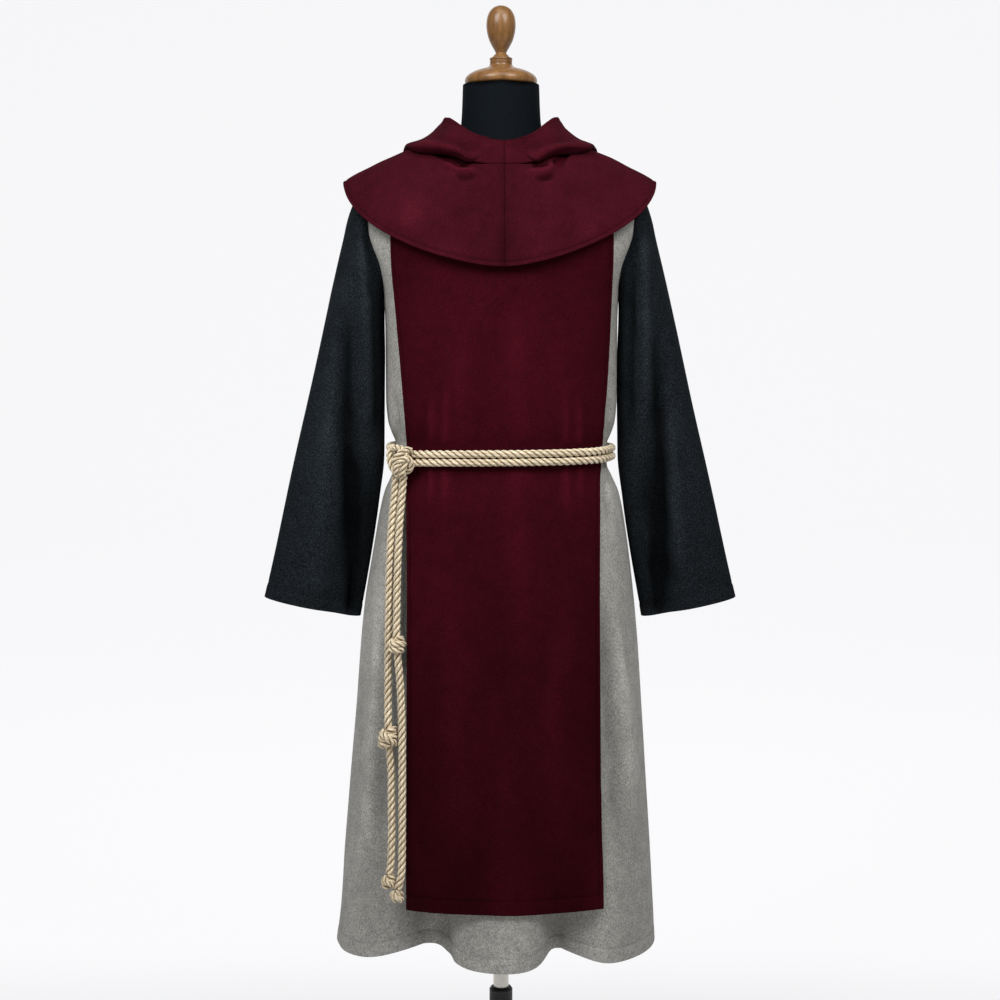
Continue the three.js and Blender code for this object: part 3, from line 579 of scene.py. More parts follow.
def wool(name, base, fleck_dark, fleck_light, fleck_scale, nap, sheen, tint, low, wear):
    """Brushed wool: flecks of dark and light fibre, slow mottling and a short upright nap. low is the
    painted shade at the hem, where the colour darkens as the light from above falls off, and the last
    number sets the painted shade in its troughs and the painted light on its crests."""
    made = Material(name, 0.95)
    fibres = made.noise(made.stretched(1, 1, 0.8), fleck_scale, 5, 0.75)
    colour = made.ramp(fibres, (0.36, [c * fleck_dark for c in base]), (0.5, base),
                       (0.66, [c * fleck_light for c in base]))
    mottle = made.ramp(made.noise(made.place, 46, 4), (0.32, 0.88), (0.68, 1.1))
    broad = made.ramp(made.noise(made.place, 5.5, 2), (0.3, 0.94), (0.7, 1.05))
    height = made.node("SeparateXYZ", "Z", {"Vector": made.place})
    # Painted shade: the colour darkens towards the hem, down to low, as the light from above falls off.
    painted_hem_shade = made.ramp(made.step(height, 0.3, 1.25), (0.0, low), (1.0, 1.0))
    # Painted shade in the troughs and painted light on the crests, read from the crown attribute.
    painted_fold_shading = made.crown((0.0, 1 - wear), (0.5, 1.0), (1.0, 1 + wear))
    for layer in (mottle, broad, painted_hem_shade, painted_fold_shading):
        colour = made.times(colour, layer)
    loft = made.node("Math", 0, {0: made.noise(made.place, 620, 4, 0.7), 1: 0.6}, operation="MULTIPLY")
    twill = made.wave(made.place, "DIAGONAL", 210.0, 3.5, 2.0, 3.0)
    return made.finish(colour, (made.weighed(twill, 0.25, loft), nap, 0.0012), {
        "Sheen Weight": sheen, "Sheen Roughness": 0.5, "Sheen Tint": (*tint, 1), "Specular IOR Level": 0.03})


def rope_cotton(name):
    made = Material(name, 0.86)
    yarns = made.wave(made.node("TexCoord", "UV"), "DIAGONAL", 1.0, 1.1, 2.0, 2.0)
    fluff = made.noise(made.place, 700, 4, 0.7)
    colour = made.ramp(yarns, (0.05, (0.64, 0.52, 0.35)), (0.6, (0.90, 0.80, 0.62)))
    patch = made.ramp(made.noise(made.place, 26, 2), (0.35, (0.88, 0.85, 0.8)), (0.7, (1.07, 1.06, 1.03)))
    # Painted shade in the grooves between the strands and a little painted light on their crowns, from the crown
    # attribute.
    groove_shade = made.crown((0.0, (0.3, 0.245, 0.18)), (0.45, (0.76, 0.71, 0.63)), (1.0, 1.1))
    for layer in (made.ramp(fluff, (0.3, 0.82), (0.7, 1.15)), patch, groove_shade):
        colour = made.times(colour, layer)
    return made.finish(colour, (made.weighed(yarns, 0.7, fluff), 0.7, 0.0006), {
        "Sheen Weight": 0.2, "Sheen Roughness": 0.6, "Specular IOR Level": 0.2})


def jersey(name):
    made = Material(name, 0.82)
    ribs = made.wave(made.place, "X", 260.0, 0.6, 1.0)
    knit = made.noise(made.stretched(1, 1, 2.4), 560)
    colour = made.ramp(knit, (0.3, (0.0022, 0.0036, 0.005)), (0.7, (0.0055, 0.0078, 0.0102)))
    return made.finish(colour, (made.weighed(ribs, 0.5, knit), 0.35, 0.0005), {"Specular IOR Level": 0.05})


def turned_wood(name):
    made = Material(name, 0.36)
    grain = made.noise(made.stretched(1, 1, 0.07), 120, 5, 0.62)
    pores = made.noise(made.stretched(1, 1, 0.05), 620, 3, 0.7)
    figure = made.noise(made.stretched(1, 1, 0.35), 22)
    colour = made.ramp(grain, (0.3, (0.135, 0.057, 0.014)), (0.5, (0.205, 0.094, 0.026)),
                       (0.72, (0.275, 0.134, 0.041)))
    colour = made.times(colour, made.ramp(pores, (0.36, 0.8), (0.55, 1.03)))
    colour = made.times(colour, made.ramp(figure, (0.3, 0.88), (0.7, 1.1)))
    return made.finish(colour, (pores, 0.12, 0.0003), {
        "Specular IOR Level": 0.3, "Coat Weight": 0.4, "Coat Roughness": 0.27})


def satin_steel(name):
    made = Material(name, 0.3, 1.0)
    brushing = made.noise(made.stretched(0.12, 0.12, 6), 300)
    return made.finish(made.ramp(brushing, (0.3, (0.5, 0.48, 0.44)), (0.7, (0.72, 0.69, 0.64))), None,
                       {"Roughness": made.ramp(brushing, (0.3, 0.24), (0.7, 0.42))})


def satin_black(name, roughness):
    made = Material(name, roughness)
    dust = made.noise(made.place, 240, 4, 0.7)
    uneven = made.ramp(made.noise(made.place, 40), (0.3, roughness - 0.07), (0.7, roughness + 0.1))
    colour = made.ramp(dust, (0.35, 0.011), (0.7, 0.02))
    return made.finish(colour, (dust, 0.15, 0.0002), {"Roughness": uneven})


LOOK = {
    # The wools' numbers: base colour, dark and light fleck, fleck scale, nap, sheen, its tint, painted shade at the
    # hem, painted shade and light on the folds.
    "tunic": wool("tunic_wool", (0.40, 0.391, 0.362), 0.56, 1.45, 440, 0.7,
                  0.08, (0.9, 0.88, 0.84), 0.8, 0.3),
    "sleeve": wool("sleeve_wool", (0.0102, 0.0128, 0.0152), 0.28, 2.9, 560, 0.6,
                   0.003, (0.5, 0.6, 0.7), 0.75, 0.75),
    "scapular": wool("scapular_wool", (0.0465, 0.003, 0.0072), 0.72, 1.38, 450, 0.5,
                     0.003, (0.6, 0.05, 0.1), 0.5, 0.4),
    "cape": wool("cape_wool", (0.0405, 0.0036, 0.0077), 0.72, 1.4, 450, 0.55,
                 0.012, (0.6, 0.06, 0.12), 1.0, 0.5),
    "rope": rope_cotton("rope_cotton"),
    "jersey": jersey("form_jersey"),
    "wood": turned_wood("turned_wood"),
    "steel": satin_steel("satin_steel"),
    "base": satin_black("base_black", 0.42),
    "collar": satin_black("collar_black", 0.5),
}


# ---- meshes
def piece(name, points, faces, slot, body, nodes=(), uv=None, crown=None):
    mesh = bpy.data.meshes.new(name)
    mesh.from_pydata((np.asarray(points) * MM).tolist(), [], faces)
    mesh.polygons.foreach_set("use_smooth", [True] * len(mesh.polygons))
    if uv is not None:
        corners = np.zeros(len(mesh.loops), int)
        mesh.loops.foreach_get("vertex_index", corners)
        mesh.uv_layers.new(name="lay").data.foreach_set("uv", np.asarray(uv)[corners].ravel())
    if crown is not None:
        mesh.attributes.new("crown", "FLOAT", "POINT").data.foreach_set("value", crown)
    mesh.materials.append(LOOK[slot])
    made = bpy.data.objects.new(name, mesh)
    bpy.context.scene.collection.objects.link(made)
    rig.ride(made, body)
    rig.slot(made, slot)
    if nodes:
        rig.replaces(made, *nodes)
    return made


def grid_faces(rows, columns, first=0, closed=False, flip=False):
    row, column = np.indices((rows - 1, columns if closed else columns - 1))
    after = (column + 1) % columns
    a = first + row * columns + column
    b = first + row * columns + after
    quads = np.stack([a, b, b + columns, a + columns], axis=-1).reshape(-1, 4)
    return (quads[:, ::-1] if flip else quads).tolist()


def inward_of(grid, closed=False):
    if closed:
        across = np.roll(grid, -1, 1) - np.roll(grid, 1, 1)
    else:
        across = np.gradient(grid, axis=1)
    return unit(np.cross(across, np.gradient(grid, axis=0)))


def edge_distance(grid, closed):
    """How far each point of a grid is from its nearest open edge."""
    def run(line):
        steps = np.linalg.norm(np.diff(line, axis=0), axis=-1)
        return np.concatenate([np.zeros((1, line.shape[1])), np.cumsum(steps, axis=0)])
    down = run(grid)
    nearest = np.minimum(down, down[-1] - down)
    if not closed:
        across = run(grid.transpose(1, 0, 2)).T
        nearest = np.minimum(nearest, np.minimum(across, across[:, -1:] - across))
    return nearest


def cloth(node, grid, slot, relief, closed=False, finish=None):
    """A wall of cloth over a grid of outer points, its open edges rounded off; relief runs from -1 in a
    trough to 1 on a crest. Gives the piece, its outer points and their outward directions."""
    inward = inward_of(grid, closed)
    half = WOOL / 2
    near = np.minimum(edge_distance(grid, closed), half)
    draw = 0.82 * (half - np.sqrt(np.maximum(half ** 2 - (half - near) ** 2, 0)))[..., None]
    outer = grid + inward * draw
    inner = grid + inward * (WOOL - draw)
    if finish:
        outer, inner = finish(outer), finish(inner)
    rows, columns = grid.shape[:2]
    count = rows * columns
    faces = grid_faces(rows, columns, 0, closed, True) + grid_faces(rows, columns, count, closed)
    index = np.arange(count).reshape(rows, columns)
    rims = [np.append(index[0], 0), np.append(index[-1], index[-1, 0])[::-1]] if closed else [
        index[0], index[-1][::-1], index[::-1, 0], index[:, -1]]
    for rim in rims:
        faces += [[a, b, b + count, a + count] for a, b in zip(rim[:-1].tolist(), rim[1:].tolist())]
    points = np.concatenate([outer.reshape(-1, 3), inner.reshape(-1, 3)])
    # The crown attribute keeps the relief; the wool paints shade in its troughs and light on its crests from it.
    crown = np.tile(np.clip(0.5 + np.broadcast_to(relief, grid.shape[:2]) / 2, 0, 1).ravel(), 2)
    made = piece(f"{node}_wool", points, faces, slot, "form", [node], crown=crown)
    return made, outer, -inward


def on_grid(grid, rows, columns):
    """Points of a grid at fractional rows and columns."""
    rows, columns = np.broadcast_arrays(np.asarray(rows, float), np.asarray(columns, float))
    r = np.clip(rows.astype(int), 0, grid.shape[0] - 2)
    c = np.clip(columns.astype(int), 0, grid.shape[1] - 2)
    s, t = (rows - r)[..., None], (columns - c)[..., None]
    return ((grid[r, c] * (1 - t) + grid[r, c + 1] * t) * (1 - s)
            + (grid[r + 1, c] * (1 - t) + grid[r + 1, c + 1] * t) * s)


STITCH_PITCH = 4.2
STITCH_LENGTH = 3.2


def stitches(name, sheet, places, slot):
    """Rows of stitches on what cloth gives, along (rows, columns) places of its grid: each stitch is a
    short spindle of thread sunk in the nap."""
    parent, outer, outward = sheet
    points, faces = [], []
    for rows, columns in places:
        line, away = on_grid(outer, rows, columns), on_grid(outward, rows, columns)
        steps = np.concatenate([[0], np.cumsum(np.linalg.norm(np.diff(line, axis=0), axis=1))])
        marks = np.arange(STITCH_PITCH, steps[-1] - STITCH_PITCH, STITCH_PITCH)

        def along(values, marks):
            return np.stack([np.interp(marks, steps, values[:, i]) for i in range(3)], axis=-1)
        middle, up = along(line, marks), unit(along(away, marks))
        ahead = unit(along(line, marks + 0.5) - along(line, marks - 0.5))
        side = unit(np.cross(ahead, up))
        for m, u, a, s in zip(middle, up, ahead, side):
            first = len(points)
            points += [m - a * STITCH_LENGTH / 2 - 0.25 * u, m - 0.42 * s + 0.05 * u, m + 0.5 * u,
                       m + 0.42 * s + 0.05 * u, m - 0.3 * u, m + a * STITCH_LENGTH / 2 - 0.25 * u]
            for i in range(4):
                j = (i + 1) % 4
                faces += [[first, first + 1 + i, first + 1 + j], [first + 5, first + 1 + j, first + 1 + i]]
    # No crown is given, so the wool reads 0 here and the thread takes the full painted trough shade.
    made = piece(name, points, faces, slot, "form")
    world = made.matrix_world.copy()
    made.parent = parent
    made.matrix_world = world
    return made


EDGE = np.array([0, 0.25, 0.6, 1.1, 2.2, 4])       # rows close to an open edge, in millimetres


def spaced(start, end, step, extra=()):
    """Places along a length in millimetres, closer together at its open edges."""
    places = np.linspace(start, end, int(round((end - start) / step)) + 1)
    clear = EDGE[-1] + 1.5
    inside = places[(places > start + clear) & (places < end - clear)]
    return np.unique(np.round(np.concatenate([start + EDGE, inside, end - EDGE, extra]), 3))


def row_at(place, places):
    """The fractional row of a grid at a place."""
    return np.interp(place, places, np.arange(len(places)))


def groove(distance, place, depth=0.9, width=1.6):
    """A seam or a stitched line pressed into the nap, at a distance from an edge."""
    return -depth * np.exp(-((distance - place) / width) ** 2)


def allowance(distance, stitch, height, soft=2):
    """How much thicker a turned-in edge lies, out to its stitched line."""
    return height * (1 - smooth(stitch - soft, stitch, distance))


def freed(station, hold, reach):
    """The share of a fold that is left where the belt holds the cloth."""
    return 1 - hold * np.exp(-((station - WAIST) / reach) ** 4)


def lifted_grid(grid, lift, closed=False):
    return grid - inward_of(grid, closed) * lift[..., None]


# ---- tunic
TUNIC_CREST = (1.5, 0.2)


def body_point(station, angle, lifted=0.0):
    return raised(TUNIC, TUNIC_CREST, 2, station, angle, lifted)


def skirt_point(station, angle):
    point = body_point(station, angle)
    for middle, spread, depth, lift, start in SKIRT_FOLDS:
        away = wrapped(angle - middle) / spread
        bell = np.exp(-away * away)
        opening = smooth(start, TUNIC_HEM + 120, station)
        keep = 1 - depth * bell * opening / np.hypot(point[..., 0], point[..., 1])
        point[..., 0] *= keep
        point[..., 1] *= keep
        point[..., 2] += lift * bell * smooth(TUNIC_HEM - 420, TUNIC_HEM, station)
    return point


def armhole_angle(station):
    middle = (ARMHOLE_TOP + ARMHOLE_BOTTOM) / 2
    away = (station - middle) / ((ARMHOLE_BOTTOM - ARMHOLE_TOP) / 2)
    return 90 - ARMHOLE_CUT * np.sqrt(np.maximum(1 - away * away, 0))


def armhole_station(turn):
    return ARMHOLE_TOP + (ARMHOLE_BOTTOM - ARMHOLE_TOP) * (1 - np.cos(np.radians(turn))) / 2


BODY_CREASES = {
    "front": crease_rows("""
10 7 / -181 930, -199 689, -221 420
15 -9 / -164 880, -180 680, -194 440
10 7 / 174 890, 196 689, 214 500
15 -8 / 158 870, 175 660, 186 430
6.5 -18 0.05 0.5 / -150 1052, -152.5 930, -151.5 760, -150 560
5 -3.5 0.5 0 / -170 1190, -160 1120
5 2.5 0.5 0 / -176 1215, -171 1120
5 -3 0.5 0 / 172 1180, 164 1120
6 -3.5 0 0.6 / -160 1046, -170 960
6 -3.5 0 0.6 / 162 1046, 172 950
8 -6 0.5 0 / -130 440, -119 300
6 -5 0.5 0 / -92 420, -79 300
6 3 0.5 0 / -106 400, -99 300
7 -5 0.5 0 / 84 420, 93 300
16 3.5 0.5 0 / -225 560, -243 300
20 4 0.5 0 / 150 520, 158 300
34 4 0.5 0 / 20 520, 14 300
"""),
    "back": crease_rows("""
11 6 / -178 940, -196 690, -216 430
15 -8 / -160 890, -172 660, -182 420
11 6 / 172 900, 192 680, 212 470
14 -8 / 160 860, 170 640, 184 440
5 -3 0.5 0 / -168 1180, -160 1120
5 -3 0.5 0 / 170 1190, 163 1120
6 -3.5 0 0.6 / -164 1046, -174 950
6 -3.5 0 0.6 / 160 1046, 168 960
8 -5 0.5 0 / -60 430, -70 300
7 -5 0.5 0 / 34 420, 28 300
8 -5 0.5 0 / 118 430, 126 300
"""),
}


def body_drape(points, side):
    """How far the body's cloth stands out of its plain rings; the tunic and the scapular share it."""
    uneven = 1.1 * ripple(points, 210, 21, (1, 1, 0.45)) + 0.5 * ripple(points, 80, 22, (1, 1, 0.4))
    return uneven + creases(points, BODY_CREASES[side])


TUNIC_HALF = 290        # from the centre to the side seam
tunic_rows = spaced(0, TUNIC_HEM, 6.6, extra=[WAIST - BELT_EDGE, WAIST - 17, WAIST + 17, WAIST + BELT_EDGE,
                                              1296, 1298, 1300])
even_sides = np.linspace(-1, 1, 91)
tunic_sides = np.sign(even_sides) * (1 - (1 - np.abs(even_sides)) ** 1.06)
tunic_sides = np.unique(np.round(np.concatenate([
    tunic_sides[2:-2], 1 - EDGE / TUNIC_HALF, EDGE / TUNIC_HALF - 1]), 5))
from_side = np.abs(1 - np.abs(tunic_sides)) * TUNIC_HALF


def tunic_panel(side, middle, finish):
    station = tunic_rows[:, None]
    angle = middle + tunic_sides[None, :] * armhole_angle(station)
    grid = skirt_point(station, angle)
    hem = TUNIC_HEM - station
    pressed = groove(hem, HEM_STITCH) + allowance(hem, HEM_STITCH, 0.5, 3)
    seam_side = groove(from_side[None, :], 0, 0.8, 3)
    drape = body_drape(grid, side) * smooth(0, 22, from_side)[None, :] * freed(station, 0.75, 24)
    grid = lifted_grid(grid, drape + pressed + seam_side)
    return cloth(f"tunic_{side}", grid, "tunic", (drape + 1.5 * pressed + 2 * seam_side) / 8, finish=finish)


def keep_ahead(points):
    points[..., 1] = np.minimum(points[..., 1], -SEAM / 2)
    return points


def keep_behind(points):
    points[..., 1] = np.maximum(points[..., 1], SEAM / 2)
    return points


front_sheet = tunic_panel("front", 0, keep_ahead)
back_sheet = tunic_panel("back", 180, keep_behind)
hem_places = [(row_at(TUNIC_HEM - HEM_STITCH, tunic_rows), np.linspace(1, len(tunic_sides) - 2, 400))]
sheets = {}             # each piece of cloth and its thread
for node, sheet in (("tunic_front", front_sheet), ("tunic_back", back_sheet)):
    sheets[node] = sheet[0], stitches(f"{node}_hem_stitches", sheet, hem_places, "tunic")

# ---- sleeves
SLEEVE_CREASES = {
    ("left", "front"): crease_rows("""
12 -12 0.25 0 / 248 1345, 244 1169, 237 1012, 236 840
8 6 0.1 0.3 / 217 1456, 210 1294, 206 1091
19 -9 0.4 0 / 226 1090, 222 980, 228 850
13 4 0.3 0.3 / 236 1370, 262 1200, 282 1000
6 -6 / 199 1380, 194 1180, 196 1100
22 5.2 0.4 0 / 268 1250, 280 1060, 292 880
9 -3.8 / 232 1470, 262 1330
"""),
    ("left", "back"): crease_rows("""
13 -10.5 0.25 0 / 240 1330, 248 1150, 250 850
10 6 / 222 1440, 216 1280, 212 1060
20 5.2 0.4 0 / 276 1220, 296 1040, 312 870
"""),
    ("right", "front"): crease_rows("""
12 -12 0.3 0 / 239 1290, 250 1106, 252 840
9 6.8 0.1 0.3 / 219 1440, 226 1278, 229 1120
7 -7.5 / 203 1400, 200 1250, 203 1080
12 6 0.3 0.2 / 262 1200, 274 1030, 286 870
17 -8 0.4 0 / 238 1120, 236 980, 240 850
10 4.5 0.4 0 / 228 1020, 240 850
"""),
    ("right", "back"): crease_rows("""
13 -10.5 0.25 0 / 236 1300, 246 1120, 248 850
10 6 / 220 1430, 214 1260, 214 1080
18 5.2 0.4 0 / 280 1180, 300 1010, 318 860
"""),
}


SLEEVE_LENGTH = 680
sleeve_rows = spaced(0, SLEEVE_LENGTH, 6.4)


def sleeve_grid(name, widen):
    turn = np.linspace(360, 0, 121)[:-1][None, :]
    station = np.interp(sleeve_rows, [0, SLEEVE_LENGTH], [0, 1])[:, None]

    def at(column):
        return read(SLEEVE, "station", station, column)
    cosine, sine = np.cos(np.radians(turn)), np.sin(np.radians(turn))
    outer_x = at("outer_x") + widen
    middle_x, middle_z = (outer_x + at("inner_x")) / 2, (at("outer_z") + at("inner_z")) / 2
    inset = np.zeros(np.broadcast(turn, station).shape)
    for middle, spread, depth, start, end in SLEEVE_FOLDS:
        away = (turn - middle) / spread
        along = np.maximum((station - start) / (end - start), 0)
        inset += depth * np.exp(-away * away) * np.sin(math.pi * np.minimum(along, 1))
    ring = np.stack([
        middle_x + (outer_x - middle_x) * cosine,
        -(at("half_depth") - inset) * signed_power(sine, 0.94),
        middle_z + (at("outer_z") - middle_z) * cosine,
    ], axis=-1)
    armhole = body_point(armhole_station(turn), 90 - ARMHOLE_CUT * sine)
    armhole = np.broadcast_to(armhole, ring.shape) + np.array([SEAM, 0, -SEAM])
    share = smooth(0, 0.13, station)[..., None]
    grid = armhole * (1 - share) + ring * share
    lift = 0.9 * ripple(grid, 150, 31 if name == "left" else 32, (1, 1, 0.5))
    for face, sign in (("front", -1), ("back", 1)):
        lift = lift + creases(grid, SLEEVE_CREASES[name, face]) * smooth(2, 26, sign * grid[..., 1])
    cuff = (1 - station) * SLEEVE_LENGTH
    lift = lift * smooth(0.02, 0.1, station)
    pressed = groove(cuff, CUFF_STITCH) + allowance(cuff, CUFF_STITCH, 0.5, 3)
    return lifted_grid(grid, lift + pressed, True), (lift + 1.5 * pressed) / 11


def sleeve(name, sign, widen):
    grid, relief = sleeve_grid(name, widen)
    grid = grid * np.array([sign, 1, 1])
    if sign < 0:
        grid, relief = grid[:, ::-1], relief[:, ::-1]
    sheet = cloth(f"sleeve_{name}", grid, "sleeve", relief, closed=True)
    places = [(row_at(SLEEVE_LENGTH - CUFF_STITCH, sleeve_rows), np.linspace(0, grid.shape[1] - 1.01, 300))]
    return sheet[0], stitches(f"sleeve_{name}_cuff_stitches", sheet, places, "sleeve")


sheets["sleeve_right"] = sleeve("right", 1, -2)
sheets["sleeve_left"] = sleeve("left", -1, 1)

# ---- scapular
SCAPULAR_CREASES = {
    "front": crease_rows("""
6 4.3 0.6 0 / -106 1190, -107 1102
7 4.3 0.6 0 / -84 1215, -86 1102
13 2.7 0.5 0 / -60 1290, -64 1102
6 4.3 0.6 0 / 121 1190, 120 1102
7 4.3 0.6 0 / 100 1210, 100 1102
18 2.4 0.4 0 / 27 1340, 27 1102
6 3.8 0 0.7 / -108 1062, -110 990
7 3.8 0 0.7 / -87 1062, -84 970
7 3.8 0 0.7 / 100 1062, 102 980
6 3.8 0 0.7 / 121 1062, 126 985
20 2.2 0 0.5 / 24 1062, 30 900, 34 700
26 2.8 / -66 940, -72 700, -70 430
26 2.8 / 92 900, 84 660, 90 420
30 2.4 0.4 0 / 5 700, 12 500, 6 390
"""),
    "back": crease_rows("""
7 4.3 0.6 0 / -92 1200, -95 1102
9 3.3 0.6 0 / -40 1230, -42 1102
8 3.8 0.6 0 / 58 1210, 60 1102
6 4.3 0.6 0 / 112 1190, 110 1102
7 3.8 0 0.7 / -94 1062, -100 970
9 3.8 0 0.7 / 58 1062, 62 960
28 2.8 / -50 960, -62 700, -58 420
28 2.8 / 70 900, 82 640, 78 400
"""),
}
SCAPULAR_WIDTH = 330


def scapular_angle(station, edge):
    shift = read(TUNIC, "station", station, "shift") * (1 if edge == "left" else -1)
    width = read(SCAPULAR, "station", station, edge) + shift
    share = np.minimum(width / read(TUNIC, "station", station, "half_width"), 1)
    return np.degrees(np.arcsin(share ** (read(TUNIC, "station", station, "square") / 2)))


def scapular_panel(side, middle, edges, finish):
    rows = spaced(SCAPULAR_TOP, SCAPULAR_HEM, 6.4, [WAIST - BELT_EDGE, WAIST + BELT_EDGE, 1206, 1208, 1210])
    beside = EDGE_STITCH + np.array([-1.5, 0, 1.5])
    across = spaced(0, SCAPULAR_WIDTH, 5, [*beside, *(SCAPULAR_WIDTH - beside)])
    station, sides = rows[:, None], (across / SCAPULAR_WIDTH * 2 - 1)[None, :]
    angle = middle + sides * np.where(sides < 0, scapular_angle(station, edges[0]),
                                      scapular_angle(station, edges[1]))
    grid = body_point(station, angle, read(SCAPULAR, "station", station, "gap") + WOOL + 0 * angle)
    edge = np.minimum(across, SCAPULAR_WIDTH - across)[None, :]
    hem = SCAPULAR_HEM - station
    pressed = groove(edge, EDGE_STITCH) + groove(hem, HEM_STITCH)
    turned_in = np.maximum(allowance(edge, EDGE_STITCH, 0.45), allowance(hem, HEM_STITCH, 0.45, 3))
    shared = np.maximum(body_drape(grid, side), -0.6)
    own = creases(grid, SCAPULAR_CREASES[side]) * freed(station, 0.8, 21) * smooth(0, 26, edge)
    lift = shared * freed(station, 0.75, 24) + own
    grid = lifted_grid(grid, lift + pressed + turned_in)
    sheet = cloth(f"scapular_{side}", grid, "scapular", (lift - 1 + 3 * pressed) / 4, finish=finish)
    down = np.linspace(3, row_at(SCAPULAR_HEM - HEM_STITCH, rows), 900)
    first = row_at(EDGE_STITCH, across)
    last = len(across) - 1 - first
    places = [(down, first), (down, last), (down[-1], np.linspace(first, last, 300))]
    return sheet[0], stitches(f"scapular_{side}_stitches", sheet, places, "scapular")


sheets["scapular_front"] = scapular_panel("front", 0, ("left", "right"), keep_ahead)
sheets["scapular_back"] = scapular_panel("back", 180, ("right", "left"), keep_behind)

# ---- cape
CAPE_CREST = (1.3, 0.05, 0.03)


def cape_point(station, angle, lifted=0.0):
    return raised(CAPE, CAPE_CREST, 0.01, station, angle, lifted)


SEAM_COLUMNS = 12


def keep_half(side):
    """Brings both edge columns to the centre seam, then moves the front of that seam to +X."""
    def finish(points):
        for columns in (slice(0, SEAM_COLUMNS), slice(None, -SEAM_COLUMNS - 1, -1)):
            edge = points[:, columns]
            off = side * HALF_SEAM - edge[:, :1, 0]
            away = np.linalg.norm(edge - edge[:, :1], axis=-1)
            edge[..., 0] += off * (1 - smooth(0, 26, away))
        points[..., 0] = side * np.maximum(side * points[..., 0], HALF_SEAM)
        near_seam = np.exp(-(points[..., 0] / FRONT_OFFSET_REACH) ** 2)
        points[..., 0] += FRONT_OFFSET * near_seam * smooth(-20, 90, -points[..., 1])
        return points
    return finish


CAPE_LENGTH = 190
CAPE_HALF = 560         # from one centre seam to the other
# The pockets and the small lobes below the hood's roll, then slow waves of the cape.
CAPE_CREASES = crease_rows("""
5.5 -15 / -108 1552, -92 1547, -78 1538, -64 1530, -50 1525
5.5 7.5 / -92 1536, -79 1527, -64 1520, -46 1518, -34 1521
4 -4 / -76 1512, -55 1508, -40 1511
5.5 -16 0.3 0.2 / 106 1554, 95 1547, 86 1535, 84 1524
5.5 8 0.2 0.3 / 81 1538, 74 1524, 60 1517, 45 1518, 34 1521
4 -6 / 83 1515, 66 1507, 46 1509
3.4 -6 / 72 1531, 58 1528, 42 1528
22 3.2 / -120 1480, -150 1420
26 2.2 0.4 0 / -60 1460, -80 1390
24 2.8 / 110 1480, 150 1410
24 2 0.4 0 / 52 1450, 60 1385
""")


def cape_half(name, side):
    beside = EDGE_STITCH + np.array([-1.5, 0, 1.5])
    down = spaced(0, CAPE_LENGTH, 5, [*np.arange(7.5, 90, 5), *(CAPE_LENGTH - beside)])
    along = spaced(0, CAPE_HALF, 3.1)
    angle = along / CAPE_HALF * 180 - (0 if side > 0 else 180)
    grid = cape_point((down / CAPE_LENGTH)[:, None], angle[None, :])
    hem = (CAPE_LENGTH - down)[:, None]
    seam = np.minimum(along, CAPE_HALF - along)[None, :]
    uneven = 1.2 + 1.0 * ripple(grid, 130, 41) + 0.5 * ripple(grid, 55, 42)
    ahead = smooth(0, 30, -grid[..., 1])
    lift = (uneven * smooth(0, 25, down[:, None]) + creases(grid, CAPE_CREASES) * ahead) * smooth(0, 20, seam)
    pressed = groove(hem, EDGE_STITCH) + groove(seam, 0, 0.7, 2.5)
    grid = lifted_grid(grid, lift + pressed + allowance(hem, EDGE_STITCH, 0.5))
    sheet = cloth(f"cape_{name}", grid, "cape", (lift - 1.2 + 3 * pressed) / 6, finish=keep_half(side))
    places = [(row_at(CAPE_LENGTH - EDGE_STITCH, down), np.linspace(1, len(along) - 2, 500))]
    return sheet[0], stitches(f"cape_{name}_stitches", sheet, places, "cape")


sheets["cape_right"] = cape_half("right", 1)
sheets["cape_left"] = cape_half("left", -1)

# ---- hood
UNDER_SHARES = (0.25, 0.5, 0.75, 1)
RISE_SHARES = (0.33, 0.67)
PLAIN_SHARES = (0, 0.14, 0.27, 0.4, 0.52, 0.62, 0.75, 0.88, 1)
HOOD_SPANS = len(PLAIN_SHARES) - 1
HOOD_SPAN = 26          # millimetres in the profile's last span
HOOD_HALF = 420         # from the centre back to the centre front


def hood_curves(angle):
    """The control points of the hood's profile at each angle, from the neck seam to the mouth edge."""
    def at(column):
        return read(HOOD, "angle", np.abs(angle), column)
    seam = cape_point(0.0, angle) + np.array([0, 0, SEAM])
    edge = np.stack([np.sign(angle) * at("edge_x"), at("edge_y"), at("edge_z")], axis=-1)
    turn = at("turn")
    over = cape_point(turn, angle, HOOD_LAY + at("bag"))
    outwards = unit(over * np.array([1, 1, 0])) + np.array([0, 0, 1])
    folded = [seam]
    folded += [cape_point(turn * share, angle, HOOD_LAY + 0 * angle) for share in UNDER_SHARES]
    folded += [over]
    for share in RISE_SHARES:
        swell = (at("bulge") * math.sin(math.pi * share))[:, None]
        folded += [over * (1 - share) + edge * share + outwards * swell]
    folded += [edge]
    fold = at("fold")[:, None]
    plain = [seam * (1 - share) + edge * share for share in PLAIN_SHARES]
    return np.stack([p * (1 - fold) + f * fold for p, f in zip(plain, folded)])


# The crest of the roll on either side, and the soft dents above it.
HOOD_CREASES = crease_rows("""
6.5 3.2 0.25 0.4 / -150 1560, -112 1563, -82 1556, -56 1546, -26 1539
8 -2.4 0.3 0.4 / -112 1574, -84 1569, -58 1559, -30 1551
6.5 3.2 0.25 0.4 / 150 1558, 104 1560, 70 1554, 42 1545, 16 1539
8 -2.4 0.3 0.4 / 112 1573, 80 1567, 50 1558, 24 1551
""")


